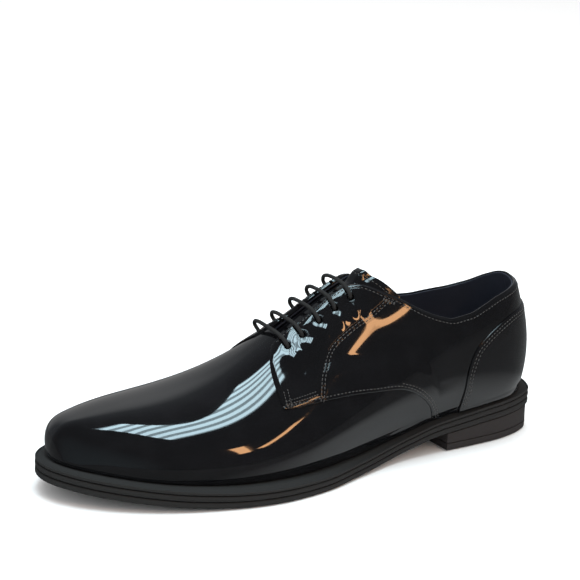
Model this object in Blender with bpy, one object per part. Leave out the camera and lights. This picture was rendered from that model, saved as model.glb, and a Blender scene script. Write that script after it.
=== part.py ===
"""Left tap shoe: a plain-toe derby on a grooved rubber sole, with tap plates let into sole and heel.

Frame: toe towards -X, heel towards +X, outer (lateral) side towards -Y, +Z up.
The origin is the centre of the bounding box on the floor. Sizes below are millimetres.

The upper is built as layers over one last surface. A point of it has a length
coordinate s (0 at the toe tip, 12 at the back of the heel) and a girth
coordinate v (0 at the feather edge of its own side, 4 at the ridge).
"""

import math

import bmesh
import bpy
import numpy as np
from mathutils import Vector

MM = 0.001

# Overall sizes
SHOE_LENGTH = 304.0
BALL_WIDTH = 108.5
UPPER_RISE = 1.0
HEEL_HEIGHT = 15.2
TOE_SPRING = 9.2

# Layers of the upper, as distances from the last surface
GAP = 0.45
LINING_T = 0.8
STIFFENER_T = 0.6
LEATHER_T = 1.0
STIFFENER_D = LINING_T + GAP
LEATHER_D = STIFFENER_D + STIFFENER_T + GAP
LAP_D = LEATHER_D + LEATHER_T + GAP + 0.2
LAP_WIDTH = 12.5

# Bottom of the upper, as heights above the top of the welt
SEAT_GAP = 0.3
MARGIN_T = 0.8
MARGIN_WIDTH = 8.0
INSOLE_LOW = SEAT_GAP + MARGIN_T + 0.4
INSOLE_T = 1.6
SOCK_T = 1.0

# Lacing
LACE_R = 1.1
HOLE_R = LACE_R + 0.85
RING_R = HOLE_R + 1.35
RUN_DEPTH = -(LACE_R + 0.65)
TONGUE_DROP = 2 * LACE_R + 0.7
RING_T = 0.5
EYELET_S = (5.04, 5.34, 5.69, 6.02, 6.35)
EYELET_V = 2.66

# Sole layers as shares of the edge's thickness, and the taps
OUTSOLE_SHARE = 0.36
MIDSOLE_SHARE = 0.70
WELT_WIDTH = 13.0
TAP_T = 1.4
TAP_PROUD = 0.4
TAP_INSET = 6.0
SCREW_HEAD_R = 2.7
SCREW_R = 1.2
SCREW_LENGTH = 4.4
BREAST_X = 78.0
LIFT_T = 4.0
SHANK_WIDTH = 14.0

# Outline of the sole: x, half width outside, half width inside
SOLE_OUTLINE = (
    (152, 0, 0), (150, 11.5, 11), (145, 20.5, 20), (136, 26, 27.5), (120, 31, 34),
    (100, 33, 34.5), (75, 34, 31.5), (45, 36, 29.5), (15, 44, 33.5), (-15, 53.5, 42),
    (-45, 56.5, 49), (-75, 51.5, 52), (-100, 43, 50), (-120, 32.5, 43), (-135, 21, 35),
    (-145, 10, 26), (-150, 1.5, 18), (-152, -8, 8),
)
# Underside of the sole: x, share of the toe spring, share of the heel height
SOLE_BOTTOM = (
    (-152, 1.0, 0), (-135, 0.76, 0), (-115, 0.5, 0), (-90, 0.207, 0), (-60, 0.033, 0),
    (-20, 0, 0), (10, 0, 0.053), (30, 0, 0.171), (50, 0, 0.382), (70, 0, 0.658),
    (85, 0, 0.757), (110, 0, 0.895), (150, 0, 1.0),
)
# Thickness of the sole at its edge: x, thickness
SOLE_EDGE = ((-152, 10.5), (-100, 10.2), (-50, 9.4), (0, 9.0), (60, 9.2), (100, 10.0), (152, 11.0))

# Cross-sections of the last: x, half width outside and inside, lift of the feather
# above the welt, height, shift of the ridge, swell, four girth shares, fan angle
LAST_SECTIONS = (
    (-143, 1, 17, 2.6, 13, 8, 0, 0.95, 0.75, 0.95, 0.75, 0),
    (-131, 13, 27, 2.6, 17, 7, 1, 0.95, 0.78, 0.95, 0.78, 0),
    (-108, 31, 34.5, 2.5, 24, 7, 2, 0.96, 0.74, 0.96, 0.76, 0),
    (-78, 40.5, 41, 2.6, 29.5, 6, 2, 0.96, 0.68, 0.96, 0.72, 0),
    (-48, 45.5, 39.5, 2.6, 39, 5, 2.5, 0.92, 0.60, 0.96, 0.67, 0),
    (-18, 43, 32.5, 3.0, 56, 3, 4, 0.86, 0.50, 0.94, 0.60, 0),
    (12, 35.5, 26, 4.0, 76, 2, 5.5, 0.82, 0.43, 0.92, 0.56, 0),
    (42, 29, 24, 4.6, 86, 1, 7, 0.86, 0.50, 0.96, 0.56, 0),
    (72, 27.5, 25.5, 3.4, 90, 0, 6, 0.96, 0.72, 0.98, 0.70, 0),
    (102, 28, 29, 3.9, 90, 0, 5, 0.97, 0.78, 0.98, 0.78, 0),
    (108, 31, 31, 4.6, 90, 0, 4.5, 0.93, 0.70, 0.95, 0.72, 32),
    (108, 34.5, 34.5, 5.2, 89, 0, 3.6, 0.88, 0.64, 0.89, 0.64, 62),
    (108, 37, 37, 5.6, 89, 0, 3.2, 0.86, 0.61, 0.86, 0.61, 90),
)
GIRTH_STEPS = (0, 0.2, 0.5, 0.85, 1.0, 1.0)
S_END = 12.0
V_RIDGE = 4.0
TOE_DIRECTION = (-1.0, -0.12, 0.0)

# Seams, as (s, v)
FRONT_SEAM = ((4.52, 1.30), (4.54, 1.78), (4.64, 2.53), (4.88, 3.28))
LOWER_SEAM = (
    (4.52, 1.30), (5.27, 1.04), (5.86, 0.86), (6.40, 0.71), (6.96, 0.58), (7.26, 0.46),
    (7.52, 0.31), (7.73, 0.15), (7.87, 0.0),
)
TOPLINE_LATERAL = (
    (4.88, 3.28), (5.1, 3.38), (6.1, 3.38), (6.3, 3.34), (6.44, 3.22), (6.56, 3.03), (6.70, 2.74),
    (6.84, 2.47), (6.98, 2.24), (7.22, 1.97), (7.45, 1.73), (7.73, 1.51), (8.01, 1.36),
    (8.27, 1.28), (8.60, 1.28), (8.95, 1.34), (9.47, 1.43), (10.5, 1.48), (12.0, 1.50),
)
TOPLINE_MEDIAL = (
    (4.88, 3.28), (5.1, 3.38), (6.1, 3.38), (6.3, 3.34), (6.44, 3.22), (6.56, 3.03), (6.70, 2.74),
    (6.84, 2.47), (6.98, 2.24), (7.22, 1.92), (7.45, 1.66), (7.73, 1.43), (8.37, 1.22),
    (8.76, 1.16), (9.49, 1.14), (10.17, 1.20), (10.94, 1.36), (11.6, 1.47), (12.0, 1.50),
)
LINING_FRONT = ((4.63, 0.0), (4.64, 1.0), (4.67, 1.9), (4.86, 2.5), (5.2, 3.08))
FOXING_TOP = (
    (8.48, 0.0), (8.51, 0.21), (8.53, 0.44), (8.60, 0.59), (8.72, 0.73), (8.88, 0.82),
    (9.26, 0.96), (9.68, 1.05), (10.6, 1.08), (12.0, 1.08),
)
# End of the vamp under the quarters: v, s
VAMP_END = (
    (0, 8.03), (0.15, 7.95), (0.31, 7.78), (0.46, 7.53), (0.58, 7.28), (0.75, 6.8), (0.9, 6.3),
    (1.05, 5.85), (1.25, 5.32), (1.5, 4.92), (1.9, 4.82), (2.5, 4.9), (3.2, 5.06), (4, 5.1),
)
VAMP_LINING_END = 4.60
# Sides of the tongue: s, v
TONGUE_SIDE = ((4.72, 3.12), (4.95, 2.92), (5.2, 2.5), (5.5, 2.22), (6.0, 2.02), (7.3, 1.95))
TONGUE_BASE_S = 4.72
TONGUE_TOP_S = 6.80

BLACK_PATENT = (0.006, 0.006, 0.007)


def scaled_x(x):
    return np.asarray(x, float) * SHOE_LENGTH / 304.0


def scaled_y(y):
    return np.asarray(y, float) * BALL_WIDTH / 108.5


def smoothstep(low, high, x):
    t = np.clip((np.asarray(x, float) - low) / (high - low), 0.0, 1.0)
    return t * t * (3.0 - 2.0 * t)


def monotone(table):
    """Smooth function through (x, y) pairs that doesn't overshoot them."""
    xs, ys = np.array(sorted(table), float).T
    step = np.diff(xs)
    slope = np.diff(ys) / step
    product = slope[:-1] * slope[1:]
    total = slope[:-1] + slope[1:]
    safe = np.where(np.abs(total) > 1e-12, total, 1.0)
    inner = np.where(product > 0, 2.0 * product / safe, 0.0)
    tangent = np.concatenate([slope[:1], inner, slope[-1:]])

    def value(x):
        x = np.clip(np.asarray(x, float), xs[0], xs[-1])
        i = np.clip(np.searchsorted(xs, x, side="right") - 1, 0, len(xs) - 2)
        h = step[i]
        t = (x - xs[i]) / h
        low = (1 + 2 * t) * (1 - t) ** 2 * ys[i] + t * (1 - t) ** 2 * h * tangent[i]
        return low + t * t * (3 - 2 * t) * ys[i + 1] + t * t * (t - 1) * h * tangent[i + 1]

    return value


def through(points, count, closed=False):
    """Evenly spaced points on a smooth curve through the given points."""
    p = np.array(points, float)
    if closed:
        ring = np.vstack([p[-2:], p, p[:3]])
    else:
        ring = np.vstack([2 * p[0] - p[1], p, 2 * p[-1] - p[-2]])
    knots = np.concatenate([[0.0], np.cumsum(np.linalg.norm(np.diff(ring, axis=0), axis=1))])
    slope = np.diff(ring, axis=0) / np.diff(knots)[:, None]
    weight = np.diff(knots)[:, None]
    tangent = (slope[:-1] * weight[1:] + slope[1:] * weight[:-1]) / (weight[1:] + weight[:-1])
    dense = []
    first, last = (2, 2 + len(p)) if closed else (1, len(p))
    for i in range(first, last):
        h = knots[i + 1] - knots[i]
        t = np.linspace(0, 1, 40, endpoint=False)[:, None]
        a = (1 + 2 * t) * (1 - t) ** 2 * ring[i] + t * (1 - t) ** 2 * h * tangent[i - 1]
        dense.append(a + t * t * (3 - 2 * t) * ring[i + 1] + t * t * (t - 1) * h * tangent[i])
    end = ring[last][None]
    dense = np.vstack([*dense, end])
    along = np.concatenate([[0.0], np.cumsum(np.linalg.norm(np.diff(dense, axis=0), axis=1))])
    want = np.linspace(0, along[-1], count, endpoint=not closed)
    return np.stack([np.interp(want, along, dense[:, k]) for k in range(p.shape[1])], axis=1)


# ---------------------------------------------------------------- the sole's surfaces

SPRING_SHARE = monotone([(scaled_x(x), t) for x, t, _ in SOLE_BOTTOM])
HEEL_SHARE = monotone([(scaled_x(x), h) for x, _, h in SOLE_BOTTOM])
EDGE_T = monotone([(scaled_x(x), t) for x, t in SOLE_EDGE])


def sole_bottom(x):
    return TOE_SPRING * SPRING_SHARE(x) + HEEL_HEIGHT * HEEL_SHARE(x)


def sole_top(x):
    return sole_bottom(x) + EDGE_T(x)


def sole_level(share, lift=0.0):
    """Height of a layer of the sole: a share of the edge's thickness, plus a lift."""
    return lambda x: sole_bottom(x) + share * EDGE_T(x) + lift


def flat_level(height):
    return lambda x: np.full(len(x), height)


def sole_loop():
    outer = [(scaled_x(x), -scaled_y(w)) for x, w, _ in SOLE_OUTLINE]
    inner = [(scaled_x(x), scaled_y(w)) for x, _, w in SOLE_OUTLINE[1:-1]]
    return through(outer + inner[::-1], 720, closed=True)


SOLE_LOOP = sole_loop()


def inset_loop(loop, inset):
    ahead = np.roll(loop, -1, axis=0) - np.roll(loop, 1, axis=0)
    ahead /= np.linalg.norm(ahead, axis=1)[:, None]
    inward = np.stack([ahead[:, 1], -ahead[:, 0]], axis=1)
    if (inward * (loop.mean(axis=0) - loop)).sum() < 0:
        inward = -inward
    return loop + inward * inset


def stations(loop, count, x_from=None, x_to=None):
    """Matching points on the two sides of a closed outline, from toe to heel."""
    toe, heel = int(loop[:, 0].argmin()), int(loop[:, 0].argmax())
    turned = np.roll(loop, -toe, axis=0)
    back = (heel - toe) % len(loop)
    one = turned[: back + 1]
    other = np.vstack([turned[back:], turned[:1]])[::-1]
    lateral, medial = (one, other) if one[:, 1].mean() < other[:, 1].mean() else (other, one)
    low = loop[toe, 0] if x_from is None else x_from
    high = loop[heel, 0] if x_to is None else x_to
    t = np.linspace(0, 1, count)
    if x_from is None and x_to is None:
        t = (1 - np.cos(np.pi * t)) / 2
    elif x_from is None:
        t = 1 - np.cos(np.pi * t / 2)
    elif x_to is None:
        t = np.sin(np.pi * t / 2)
    x = low + (high - low) * t
    sides = []
    for branch in (lateral, medial):
        sides.append(np.stack([x, np.interp(x, branch[:, 0], branch[:, 1])], axis=1))
    if x_from is None:
        sides[1][0] = sides[0][0] = loop[toe]
    if x_to is None:
        sides[1][-1] = sides[0][-1] = loop[heel]
    return sides


def sole_ring(inset, height, count=34, x_from=None, x_to=None):
    """Closed ring of points: the outer side from toe to heel, then the inner side back."""
    lateral, medial = stations(inset_loop(SOLE_LOOP, inset), count, x_from, x_to)
    flat = np.vstack([lateral, medial[::-1]])
    return np.column_stack([flat, height(flat[:, 0])])


WIDEST_RING = sole_ring(0.0, sole_level(0))
CENTRE_X = (WIDEST_RING[:, 0].min() + WIDEST_RING[:, 0].max()) / 2
CENTRE_Y = (WIDEST_RING[:, 1].min() + WIDEST_RING[:, 1].max()) / 2


# ---------------------------------------------------------------- the last's surface

def spline_basis(count, knots, t):
    t = np.asarray(t, float).ravel()
    rows = np.array([(t >= knots[i]) & (t < knots[i + 1]) for i in range(len(knots) - 1)], float).T
    last = np.max(np.nonzero(np.diff(knots) > 0)[0])
    rows[t >= knots[last + 1], last] = 1.0
    for degree in (1, 2, 3):
        width = len(knots) - 1 - degree
        raised = np.zeros((len(t), width))
        for i in range(width):
            left = knots[i + degree] - knots[i]
            right = knots[i + degree + 1] - knots[i + 1]
            if left > 0:
                raised[:, i] += (t - knots[i]) / left * rows[:, i]
            if right > 0:
                raised[:, i] += (knots[i + degree + 1] - t) / right * rows[:, i + 1]
        rows = raised
    return rows[:, :count]


def last_net():
    """Control net of the last, closed to a point at the toe and mirrored past the heel."""
    net = []
    for x, out_w, in_w, lift, height, ridge, swell, k2o, k3o, k2i, k3i, fan in LAST_SECTIONS:
        angle = math.radians(fan)
        floor = float(sole_top(scaled_x(x + (out_w + in_w) / 2 * math.sin(angle)))) + lift
        sides = []
        for side, width, k2, k3 in ((-1, out_w, k2o, k3o), (1, in_w, k2i, k3i)):
            reach = (width, width + swell, k2 * width + 0.8 * swell, k3 * width, 0.5 * k3 * width, 0)
            points = []
            for r, t in zip(reach, GIRTH_STEPS):
                y = side * r * math.cos(angle) + ridge * t
                px = float(scaled_x(x + r * math.sin(angle)))
                points.append((px, float(scaled_y(y)), floor + t * height * UPPER_RISE))
            sides.append(points)
        net.append(sides[0] + sides[1][-2::-1])
    net = np.array(net)
    tip = net[0].copy()
    tip[:] = (net[0][0][0], (net[0][0][1] + net[0][-1][1]) / 2, net[0][0][2])
    return np.concatenate([tip[None], net, net[-2][::-1][None], net[-3][::-1][None]])


NET = last_net()
KNOTS_S = np.concatenate([[0.0] * 4, np.arange(1, NET.shape[0] + 1)])
KNOTS_V = np.concatenate([[0.0] * 4, np.arange(1, NET.shape[1] - 3), [NET.shape[1] - 3.0] * 4])
V_ALL = NET.shape[1] - 3.0


def last_points(s, v):
    rows = spline_basis(NET.shape[0], KNOTS_S, s)
    cols = spline_basis(NET.shape[1], KNOTS_V, v)
    return np.einsum("ni,nj,ijk->nk", rows, cols, NET)


def skin(s, v, distance, side=-1):
    """Points at a distance outside the last. v counts from the feather edge of that side."""
    s, v, distance = np.broadcast_arrays(np.asarray(s, float), np.asarray(v, float), distance)
    shape = s.shape
    s, v, distance = s.ravel(), v.ravel(), distance.ravel()
    v = v if side < 0 else V_ALL - v
    e = 1e-3
    s_in = np.clip(s, 0.02, S_END)
    v_in = np.clip(v, e, V_ALL - e)
    along = last_points(s_in + e, v_in) - last_points(s_in - e, v_in)
    around = last_points(s_in, v_in + e) - last_points(s_in, v_in - e)
    normal = np.cross(along, around)
    toe = np.array(TOE_DIRECTION)
    normal[s < 1e-6] = toe
    normal /= np.linalg.norm(normal, axis=1)[:, None]
    points = last_points(s, v) + normal * distance[:, None]
    return points.reshape(shape + (3,)), normal.reshape(shape + (3,))


# ---------------------------------------------------------------- meshes

def material(name, colour, roughness, metallic=0.0, coat=0.0):
    made = bpy.data.materials.new(name)
    made.use_nodes = True
    shader = made.node_tree.nodes["Principled BSDF"]
    shader.inputs["Base Color"].default_value = (*colour, 1.0)
    shader.inputs["Roughness"].default_value = roughness
    shader.inputs["Metallic"].default_value = metallic
    shader.inputs["Coat Weight"].default_value = coat
    return made


def body(name, points, faces, finish, origin=None):
    """Object from points in millimetres, with doubled points made one and faces turned outwards."""
    points = np.asarray(points, float) - (CENTRE_X, CENTRE_Y, 0.0)
    pivot = np.zeros(3) if origin is None else np.asarray(origin, float) - (CENTRE_X, CENTRE_Y, 0.0)
    mesh = bpy.data.meshes.new(name)
    shape = bmesh.new()
    verts = [shape.verts.new(p) for p in (points - pivot) * MM]
    for face in faces:
        shape.faces.new([verts[i] for i in face])
    bmesh.ops.remove_doubles(shape, verts=shape.verts, dist=1e-6)
    bmesh.ops.dissolve_degenerate(shape, edges=shape.edges, dist=1e-6)
    bmesh.ops.triangulate(shape, faces=[f for f in shape.faces if len(f.verts) > 4])
    if shape.calc_volume(signed=True) < 0:
        bmesh.ops.reverse_faces(shape, faces=shape.faces)
    shape.to_mesh(mesh)
    shape.free()
    mesh.shade_smooth()
    mesh.set_sharp_from_angle(angle=math.radians(35))
    made = bpy.data.objects.new(name, mesh)
    made.location = pivot * MM
    bpy.context.scene.collection.objects.link(made)
    if finish is not None:
        made.data.materials.append(finish)
    return made


def stack(name, rings, finish, hollow=False):
    """Body through matching rings: with flat-across ends, or hollow, as a closed tube of rings."""
    size = len(rings[0])
    points = np.vstack(rings)
    faces = []
    pairs = list(zip(range(len(rings) - 1), range(1, len(rings))))
    if hollow:
        pairs.append((len(rings) - 1, 0))
    for low, high in pairs:
        for i in range(size):
            j = (i + 1) % size
            faces.append((low * size + i, low * size + j, high * size + j, high * size + i))
    if not hollow:
        top = (len(rings) - 1) * size
        for i in range(size // 2 - 1):
            k = size - 1 - i
            faces.append((i, k, k - 1, i + 1))
            faces.append((top + i, top + i + 1, top + k - 1, top + k))
    return body(name, points, faces, finish)


def slab(name, inset, low, high, finish, count=34, x_from=None, x_to=None):
    rings = [sole_ring(inset, level, count, x_from, x_to) for level in (low, high)]
    return stack(name, rings, finish)


def sheet(name, outer, inner, finish, origin=None, pole=False):
    """Leather between two matching grids of points, closed along its rim."""
    rows, cols = outer.shape[:2]
    size = rows * cols
    faces = []
    for i in range(rows - 1):
        for j in range(cols - 1):
            a, b, c, d = i * cols + j, i * cols + j + 1, (i + 1) * cols + j + 1, (i + 1) * cols + j
            faces.append((a, b, c, d))
            faces.append((size + a, size + d, size + c, size + b))
    rim = [(i, 0) for i in range(rows)] + [(rows - 1, j) for j in range(1, cols)]
    rim += [(i, cols - 1) for i in range(rows - 2, -1, -1)]
    if not pole:
        rim += [(0, j) for j in range(cols - 2, 0, -1)]
    index = [i * cols + j for i, j in rim]
    count = len(index) - 1 if pole else len(index)
    for k in range(count):
        a, b = index[k], index[(k + 1) % len(index)]
        faces.append((a, b, size + b, size + a))
    points = np.vstack([outer.reshape(-1, 3), inner.reshape(-1, 3)])
    return body(name, points, faces, finish, origin)


def hem(outer, inner, normal, low, margin, column):
    """Columns that carry a sheet's edge down to the welt and, with a margin, in under the insole."""
    new_outer, new_inner = [], []
    out_edge, in_edge = outer[:, column].copy(), inner[:, column].copy()
    out_edge[:, 2] = sole_top(out_edge[:, 0]) + low
    in_edge[:, 2] = sole_top(in_edge[:, 0]) + low + (MARGIN_T if margin else 0.0)
    new_outer.append(out_edge)
    new_inner.append(in_edge)
    if margin:
        inward = normal[:, column].copy()
        inward[:, 2] = 0
        inward /= -np.linalg.norm(inward, axis=1)[:, None]
        for reach in (0.5, 1.0):
            far_out = out_edge + inward * (LEATHER_D + MARGIN_WIDTH * reach)
            far_in = in_edge + inward * (LEATHER_D + MARGIN_WIDTH * reach)
            far_out[:, 2] = sole_top(far_out[:, 0]) + low
            far_in[:, 2] = sole_top(far_in[:, 0]) + low + MARGIN_T
            new_outer.append(far_out)
            new_inner.append(far_in)
    stack_out = np.stack(new_outer[::-1] if column == 0 else new_outer, axis=1)
    stack_in = np.stack(new_inner[::-1] if column == 0 else new_inner, axis=1)
    order = (stack_out, outer) if column == 0 else (outer, stack_out)
    order_in = (stack_in, inner) if column == 0 else (inner, stack_in)
    return np.concatenate(order, axis=1), np.concatenate(order_in, axis=1)


def coons(bottom, top, front, back):
    """Grid of (s, v) that fills four edges: [columns along, rows from bottom to top]."""
    c = np.linspace(0, 1, len(bottom))[:, None, None]
    t = np.linspace(0, 1, len(front))[None, :, None]
    rule = (1 - t) * bottom[:, None] + t * top[:, None]
    cross = (1 - c) * front[None] + c * back[None]
    corners = (1 - c) * ((1 - t) * bottom[0] + t * top[0]) + c * ((1 - t) * bottom[-1] + t * top[-1])
    return rule + cross - corners


def boolean_cut(target, cutter):
    cut = target.modifiers.new(cutter.name, "BOOLEAN")
    cut.operation = "DIFFERENCE"
    cut.solver = "EXACT"
    cut.object = cutter


def helper(made):
    made.hide_render = True
    made.display_type = "WIRE"
    return made


def turned(name, profile, place, axis, finish, sides=16, hollow=False):
    """Body turned about an axis: profile pairs are (radius, distance along the axis)."""
    spin = Vector((0, 0, 1)).rotation_difference(Vector(axis)).to_matrix()
    rings = []
    for radius, along in profile:
        angles = np.linspace(0, 2 * np.pi, sides, endpoint=False)
        ring = np.stack([radius * np.cos(angles), radius * np.sin(angles), np.full(sides, along)], axis=1)
        rings.append(ring @ np.array(spin).T + place)
    points = np.vstack(rings)
    faces = []
    pairs = list(zip(range(len(rings) - 1), range(1, len(rings))))
    if hollow:
        pairs.append((len(rings) - 1, 0))
    for low, high in pairs:
        for i in range(sides):
            j = (i + 1) % sides
            faces.append((low * sides + i, low * sides + j, high * sides + j, high * sides + i))
    if not hollow:
        faces.append(tuple(range(sides))[::-1])
        faces.append(tuple(range((len(rings) - 1) * sides, len(rings) * sides)))
    return body(name, points, faces, finish)


# ---------------------------------------------------------------- sole, heel and taps

def build_sole():
    rubber = material("sole_rubber", (0.012, 0.012, 0.013), 0.42)
    low, mid = OUTSOLE_SHARE, MIDSOLE_SHARE
    rings = [
        sole_ring(1.2, sole_level(0)),
        sole_ring(0.3, sole_level(0, 0.9)),
        sole_ring(0.1, sole_level(low, -0.5)),
        sole_ring(0.7, sole_level(low)),
    ]
    outsole = stack("outsole", rings, rubber)
    rings = [
        sole_ring(0.7, sole_level(low, SEAT_GAP)),
        sole_ring(0.0, sole_level(low, SEAT_GAP + 0.5)),
        sole_ring(0.0, sole_level(mid, -0.5)),
        sole_ring(0.7, sole_level(mid)),
    ]
    midsole = stack("midsole", rings, material("midsole_rubber", (0.014, 0.014, 0.015), 0.45))
    inner = WELT_WIDTH
    rings = [
        sole_ring(0.7, sole_level(mid, SEAT_GAP)),
        sole_ring(0.0, sole_level(mid, SEAT_GAP + 0.5)),
        sole_ring(0.2, sole_level(1, -0.9)),
        sole_ring(1.4, sole_level(1)),
        sole_ring(inner, sole_level(1)),
        sole_ring(inner, sole_level(mid, SEAT_GAP)),
    ]
    stack("welt", rings, material("welt_rubber", (0.013, 0.013, 0.014), 0.38), hollow=True)
    cork = material("filler_cork", (0.32, 0.20, 0.11), 0.9)
    slab("bottom_filler", inner + 0.4, sole_level(mid, SEAT_GAP), sole_level(mid, 1.2), cork, 22)
    steel = material("shank_steel", (0.5, 0.5, 0.52), 0.35, 1.0)
    x = scaled_x(np.linspace(2, 118, 12))
    rings = []
    for lift in (1.5, 2.3):
        flat = np.vstack([
            np.column_stack([x, np.full(12, -SHANK_WIDTH / 2)]),
            np.column_stack([x[::-1], np.full(12, SHANK_WIDTH / 2)]),
        ])
        rings.append(np.column_stack([flat, sole_level(mid, lift)(flat[:, 0])]))
    stack("shank", rings, steel)
    return outsole, midsole


def build_heel():
    rubber = material("heel_rubber", (0.015, 0.014, 0.013), 0.5)
    floor = TAP_PROUD
    breast = float(scaled_x(BREAST_X))
    rings = [
        sole_ring(0.8, flat_level(floor + LIFT_T + SEAT_GAP), 18, breast),
        sole_ring(0.9, sole_level(0, -SEAT_GAP), 18, breast),
    ]
    heel = stack("heel_block", rings, rubber)
    rings = [
        sole_ring(1.3, flat_level(floor), 18, breast + 0.4),
        sole_ring(0.8, flat_level(floor + 0.6), 18, breast),
        sole_ring(0.8, flat_level(floor + LIFT_T), 18, breast),
    ]
    lift = stack("top_lift", rings, material("lift_rubber", (0.02, 0.02, 0.02), 0.6))
    return heel, lift


def tap_screws(prefix, places, level, plate, bored):
    """Countersunk screws through a tap plate, and the holes they stand in."""
    steel = material(prefix + "_screw_steel", (0.6, 0.6, 0.62), 0.3, 1.0)
    head_t = 0.9
    for number, (x, y) in enumerate(places, 1):
        base = float(level(np.array([x]))[0])
        place = np.array([x, y, base])
        up = (0, 0, 1)
        sink = [(SCREW_HEAD_R + 0.8, -1.0), (SCREW_HEAD_R + 0.5, 0.15), (SCREW_R + 0.45, head_t + 0.25),
                (SCREW_R + 0.45, 3.0)]
        cutter = helper(turned(f"{prefix}_sink_{number}", sink, place, up, None, 12))
        boolean_cut(plate, cutter)
        pilot = [(SCREW_R + 0.3, 0.2), (SCREW_R + 0.3, SCREW_LENGTH + 0.5)]
        drill = helper(turned(f"{prefix}_pilot_{number}", pilot, place, up, None, 10))
        for carrier in bored:
            boolean_cut(carrier, drill)
        shape = [(SCREW_HEAD_R, 0.1), (SCREW_R, head_t), (SCREW_R, SCREW_LENGTH - 0.8), (0.5, SCREW_LENGTH)]
        turned(f"{prefix}_screw_{number}", shape, place, up, steel, 10)


def build_taps(outsole, midsole, heel, lift):
    steel = material("tap_steel", (0.62, 0.62, 0.64), 0.22, 1.0)
    end = float(scaled_x(-92.0))
    recess = slab("toe_recess", TAP_INSET, sole_level(0, -2), sole_level(0, TAP_T - TAP_PROUD + 0.3),
                  None, 14, x_to=end)
    boolean_cut(outsole, helper(recess))
    plate = slab("toe_tap", TAP_INSET + 0.3, sole_level(0, -TAP_PROUD), sole_level(0, TAP_T - TAP_PROUD),
                 steel, 14, x_to=end - 0.3)
    places = [(scaled_x(-134.0), 8.0), (scaled_x(-104.0), -22.0), (scaled_x(-104.0), 27.0)]
    tap_screws("toe_tap", places, sole_level(0, -TAP_PROUD), plate, (outsole, midsole))

    start = float(scaled_x(104.0))
    low, high = flat_level(0.0), flat_level(TAP_T)
    recess = slab("heel_recess", TAP_INSET, flat_level(-2.0), flat_level(TAP_T + 0.3), None, 12, x_from=start)
    boolean_cut(lift, helper(recess))
    plate = slab("heel_tap", TAP_INSET + 0.3, low, high, steel, 12, x_from=start + 0.3)
    places = [(scaled_x(140.0), 0.0), (scaled_x(114.0), -16.0), (scaled_x(114.0), 17.0)]
    tap_screws("heel_tap", places, low, plate, (lift, heel))


# ---------------------------------------------------------------- inside of the sole

def feather_ring(inset, lift, count=30):
    s = S_END * (1 - np.cos(np.pi * np.linspace(0, 1, count))) / 2
    lateral, normal_l = skin(s, np.zeros(count), 0.0, -1)
    medial, normal_m = skin(s, np.zeros(count), 0.0, 1)
    loop = np.vstack([lateral, medial[::-1]])
    normal = np.vstack([normal_l, normal_m[::-1]])
    normal[:, 2] = 0
    normal /= np.linalg.norm(normal, axis=1)[:, None]
    loop = loop - normal * inset
    loop[0] = loop[-1] = (loop[0] + loop[-1]) / 2
    loop[count - 1] = loop[count] = (loop[count - 1] + loop[count]) / 2
    loop[:, 2] = sole_top(loop[:, 0]) + lift
    return loop


def build_insole():
    board = material("insole_fibre", (0.20, 0.13, 0.08), 0.85)
    low = INSOLE_LOW
    stack("insole_board", [feather_ring(1.0, low), feather_ring(1.0, low + INSOLE_T)], board)
    sock = material("sock_leather", (0.015, 0.016, 0.022), 0.5)
    low += INSOLE_T + SEAT_GAP
    stack("sock_liner", [feather_ring(1.3, low), feather_ring(1.3, low + SOCK_T)], sock)


# ---------------------------------------------------------------- upper

def vamp_grid(end_of, rows, girths):
    """Grid of (s, v) from the toe tip to the vamp's end, over both sides."""
    even = np.linspace(0, 1, rows)
    s_share = 0.35 * even ** 2 + 0.65 * even
    v = np.array(girths)
    s = np.array([end_of(min(g, V_ALL - g)) for g in girths])
    return s_share[:, None] * s[None], np.broadcast_to(v, (rows, len(v)))


def build_vamp():
    half = (0, 0.2, 0.4, 0.6, 0.8, 1.0, 1.2, 1.45, 1.8, 2.2, 2.6, 3.0, 3.5)
    girths = half + (V_RIDGE,) + tuple(V_ALL - g for g in half[::-1])
    end = monotone([(v, s) for v, s in VAMP_END])
    s, v = vamp_grid(end, 16, girths)
    outer, normal = skin(s, v, LEATHER_D + LEATHER_T)
    inner, _ = skin(s, v, LEATHER_D)
    low_out, low_in = hem(outer, inner, normal, SEAT_GAP, True, 0)
    low_normal = np.concatenate([np.repeat(normal[:, :1], 3, axis=1), normal], axis=1)
    outer, inner = hem(low_out, low_in, low_normal, SEAT_GAP, True, -1)
    patent = material("vamp_patent", BLACK_PATENT, 0.08, 0.0, 1.0)
    sheet("vamp", outer, inner, patent, pole=True)

    half = (0, 0.4, 0.8, 1.2, 1.7, 2.2, 2.7, 3.3)
    girths = half + (V_RIDGE,) + tuple(V_ALL - g for g in half[::-1])
    s, v = vamp_grid(lambda g: VAMP_LINING_END, 11, girths)
    outer, normal = skin(s, v, LINING_T)
    inner, _ = skin(s, v, 0.0)
    low_out, low_in = hem(outer, inner, normal, INSOLE_LOW, False, 0)
    outer, inner = hem(low_out, low_in, normal, INSOLE_LOW, False, -1)
    lining = material("vamp_lining_textile", (0.018, 0.019, 0.026), 0.75)
    sheet("vamp_lining", outer, inner, lining, pole=True)

    half = (0.1, 0.5, 1.0, 1.5, 2.0, 2.6, 3.3)
    girths = half + (V_RIDGE,) + tuple(V_ALL - g for g in half[::-1])
    reach = monotone([(0, 2.4), (1.2, 1.9), (2.5, 1.75), (4, 1.75)])
    s, v = vamp_grid(reach, 6, girths)
    s = 0.3 + s * (1 - 0.3 / s.max(axis=0))
    outer, _ = skin(s, v, STIFFENER_D + STIFFENER_T)
    inner, _ = skin(s, v, STIFFENER_D)
    sheet("toe_puff", outer, inner, material("puff_board", (0.7, 0.66, 0.58), 0.8))


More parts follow.
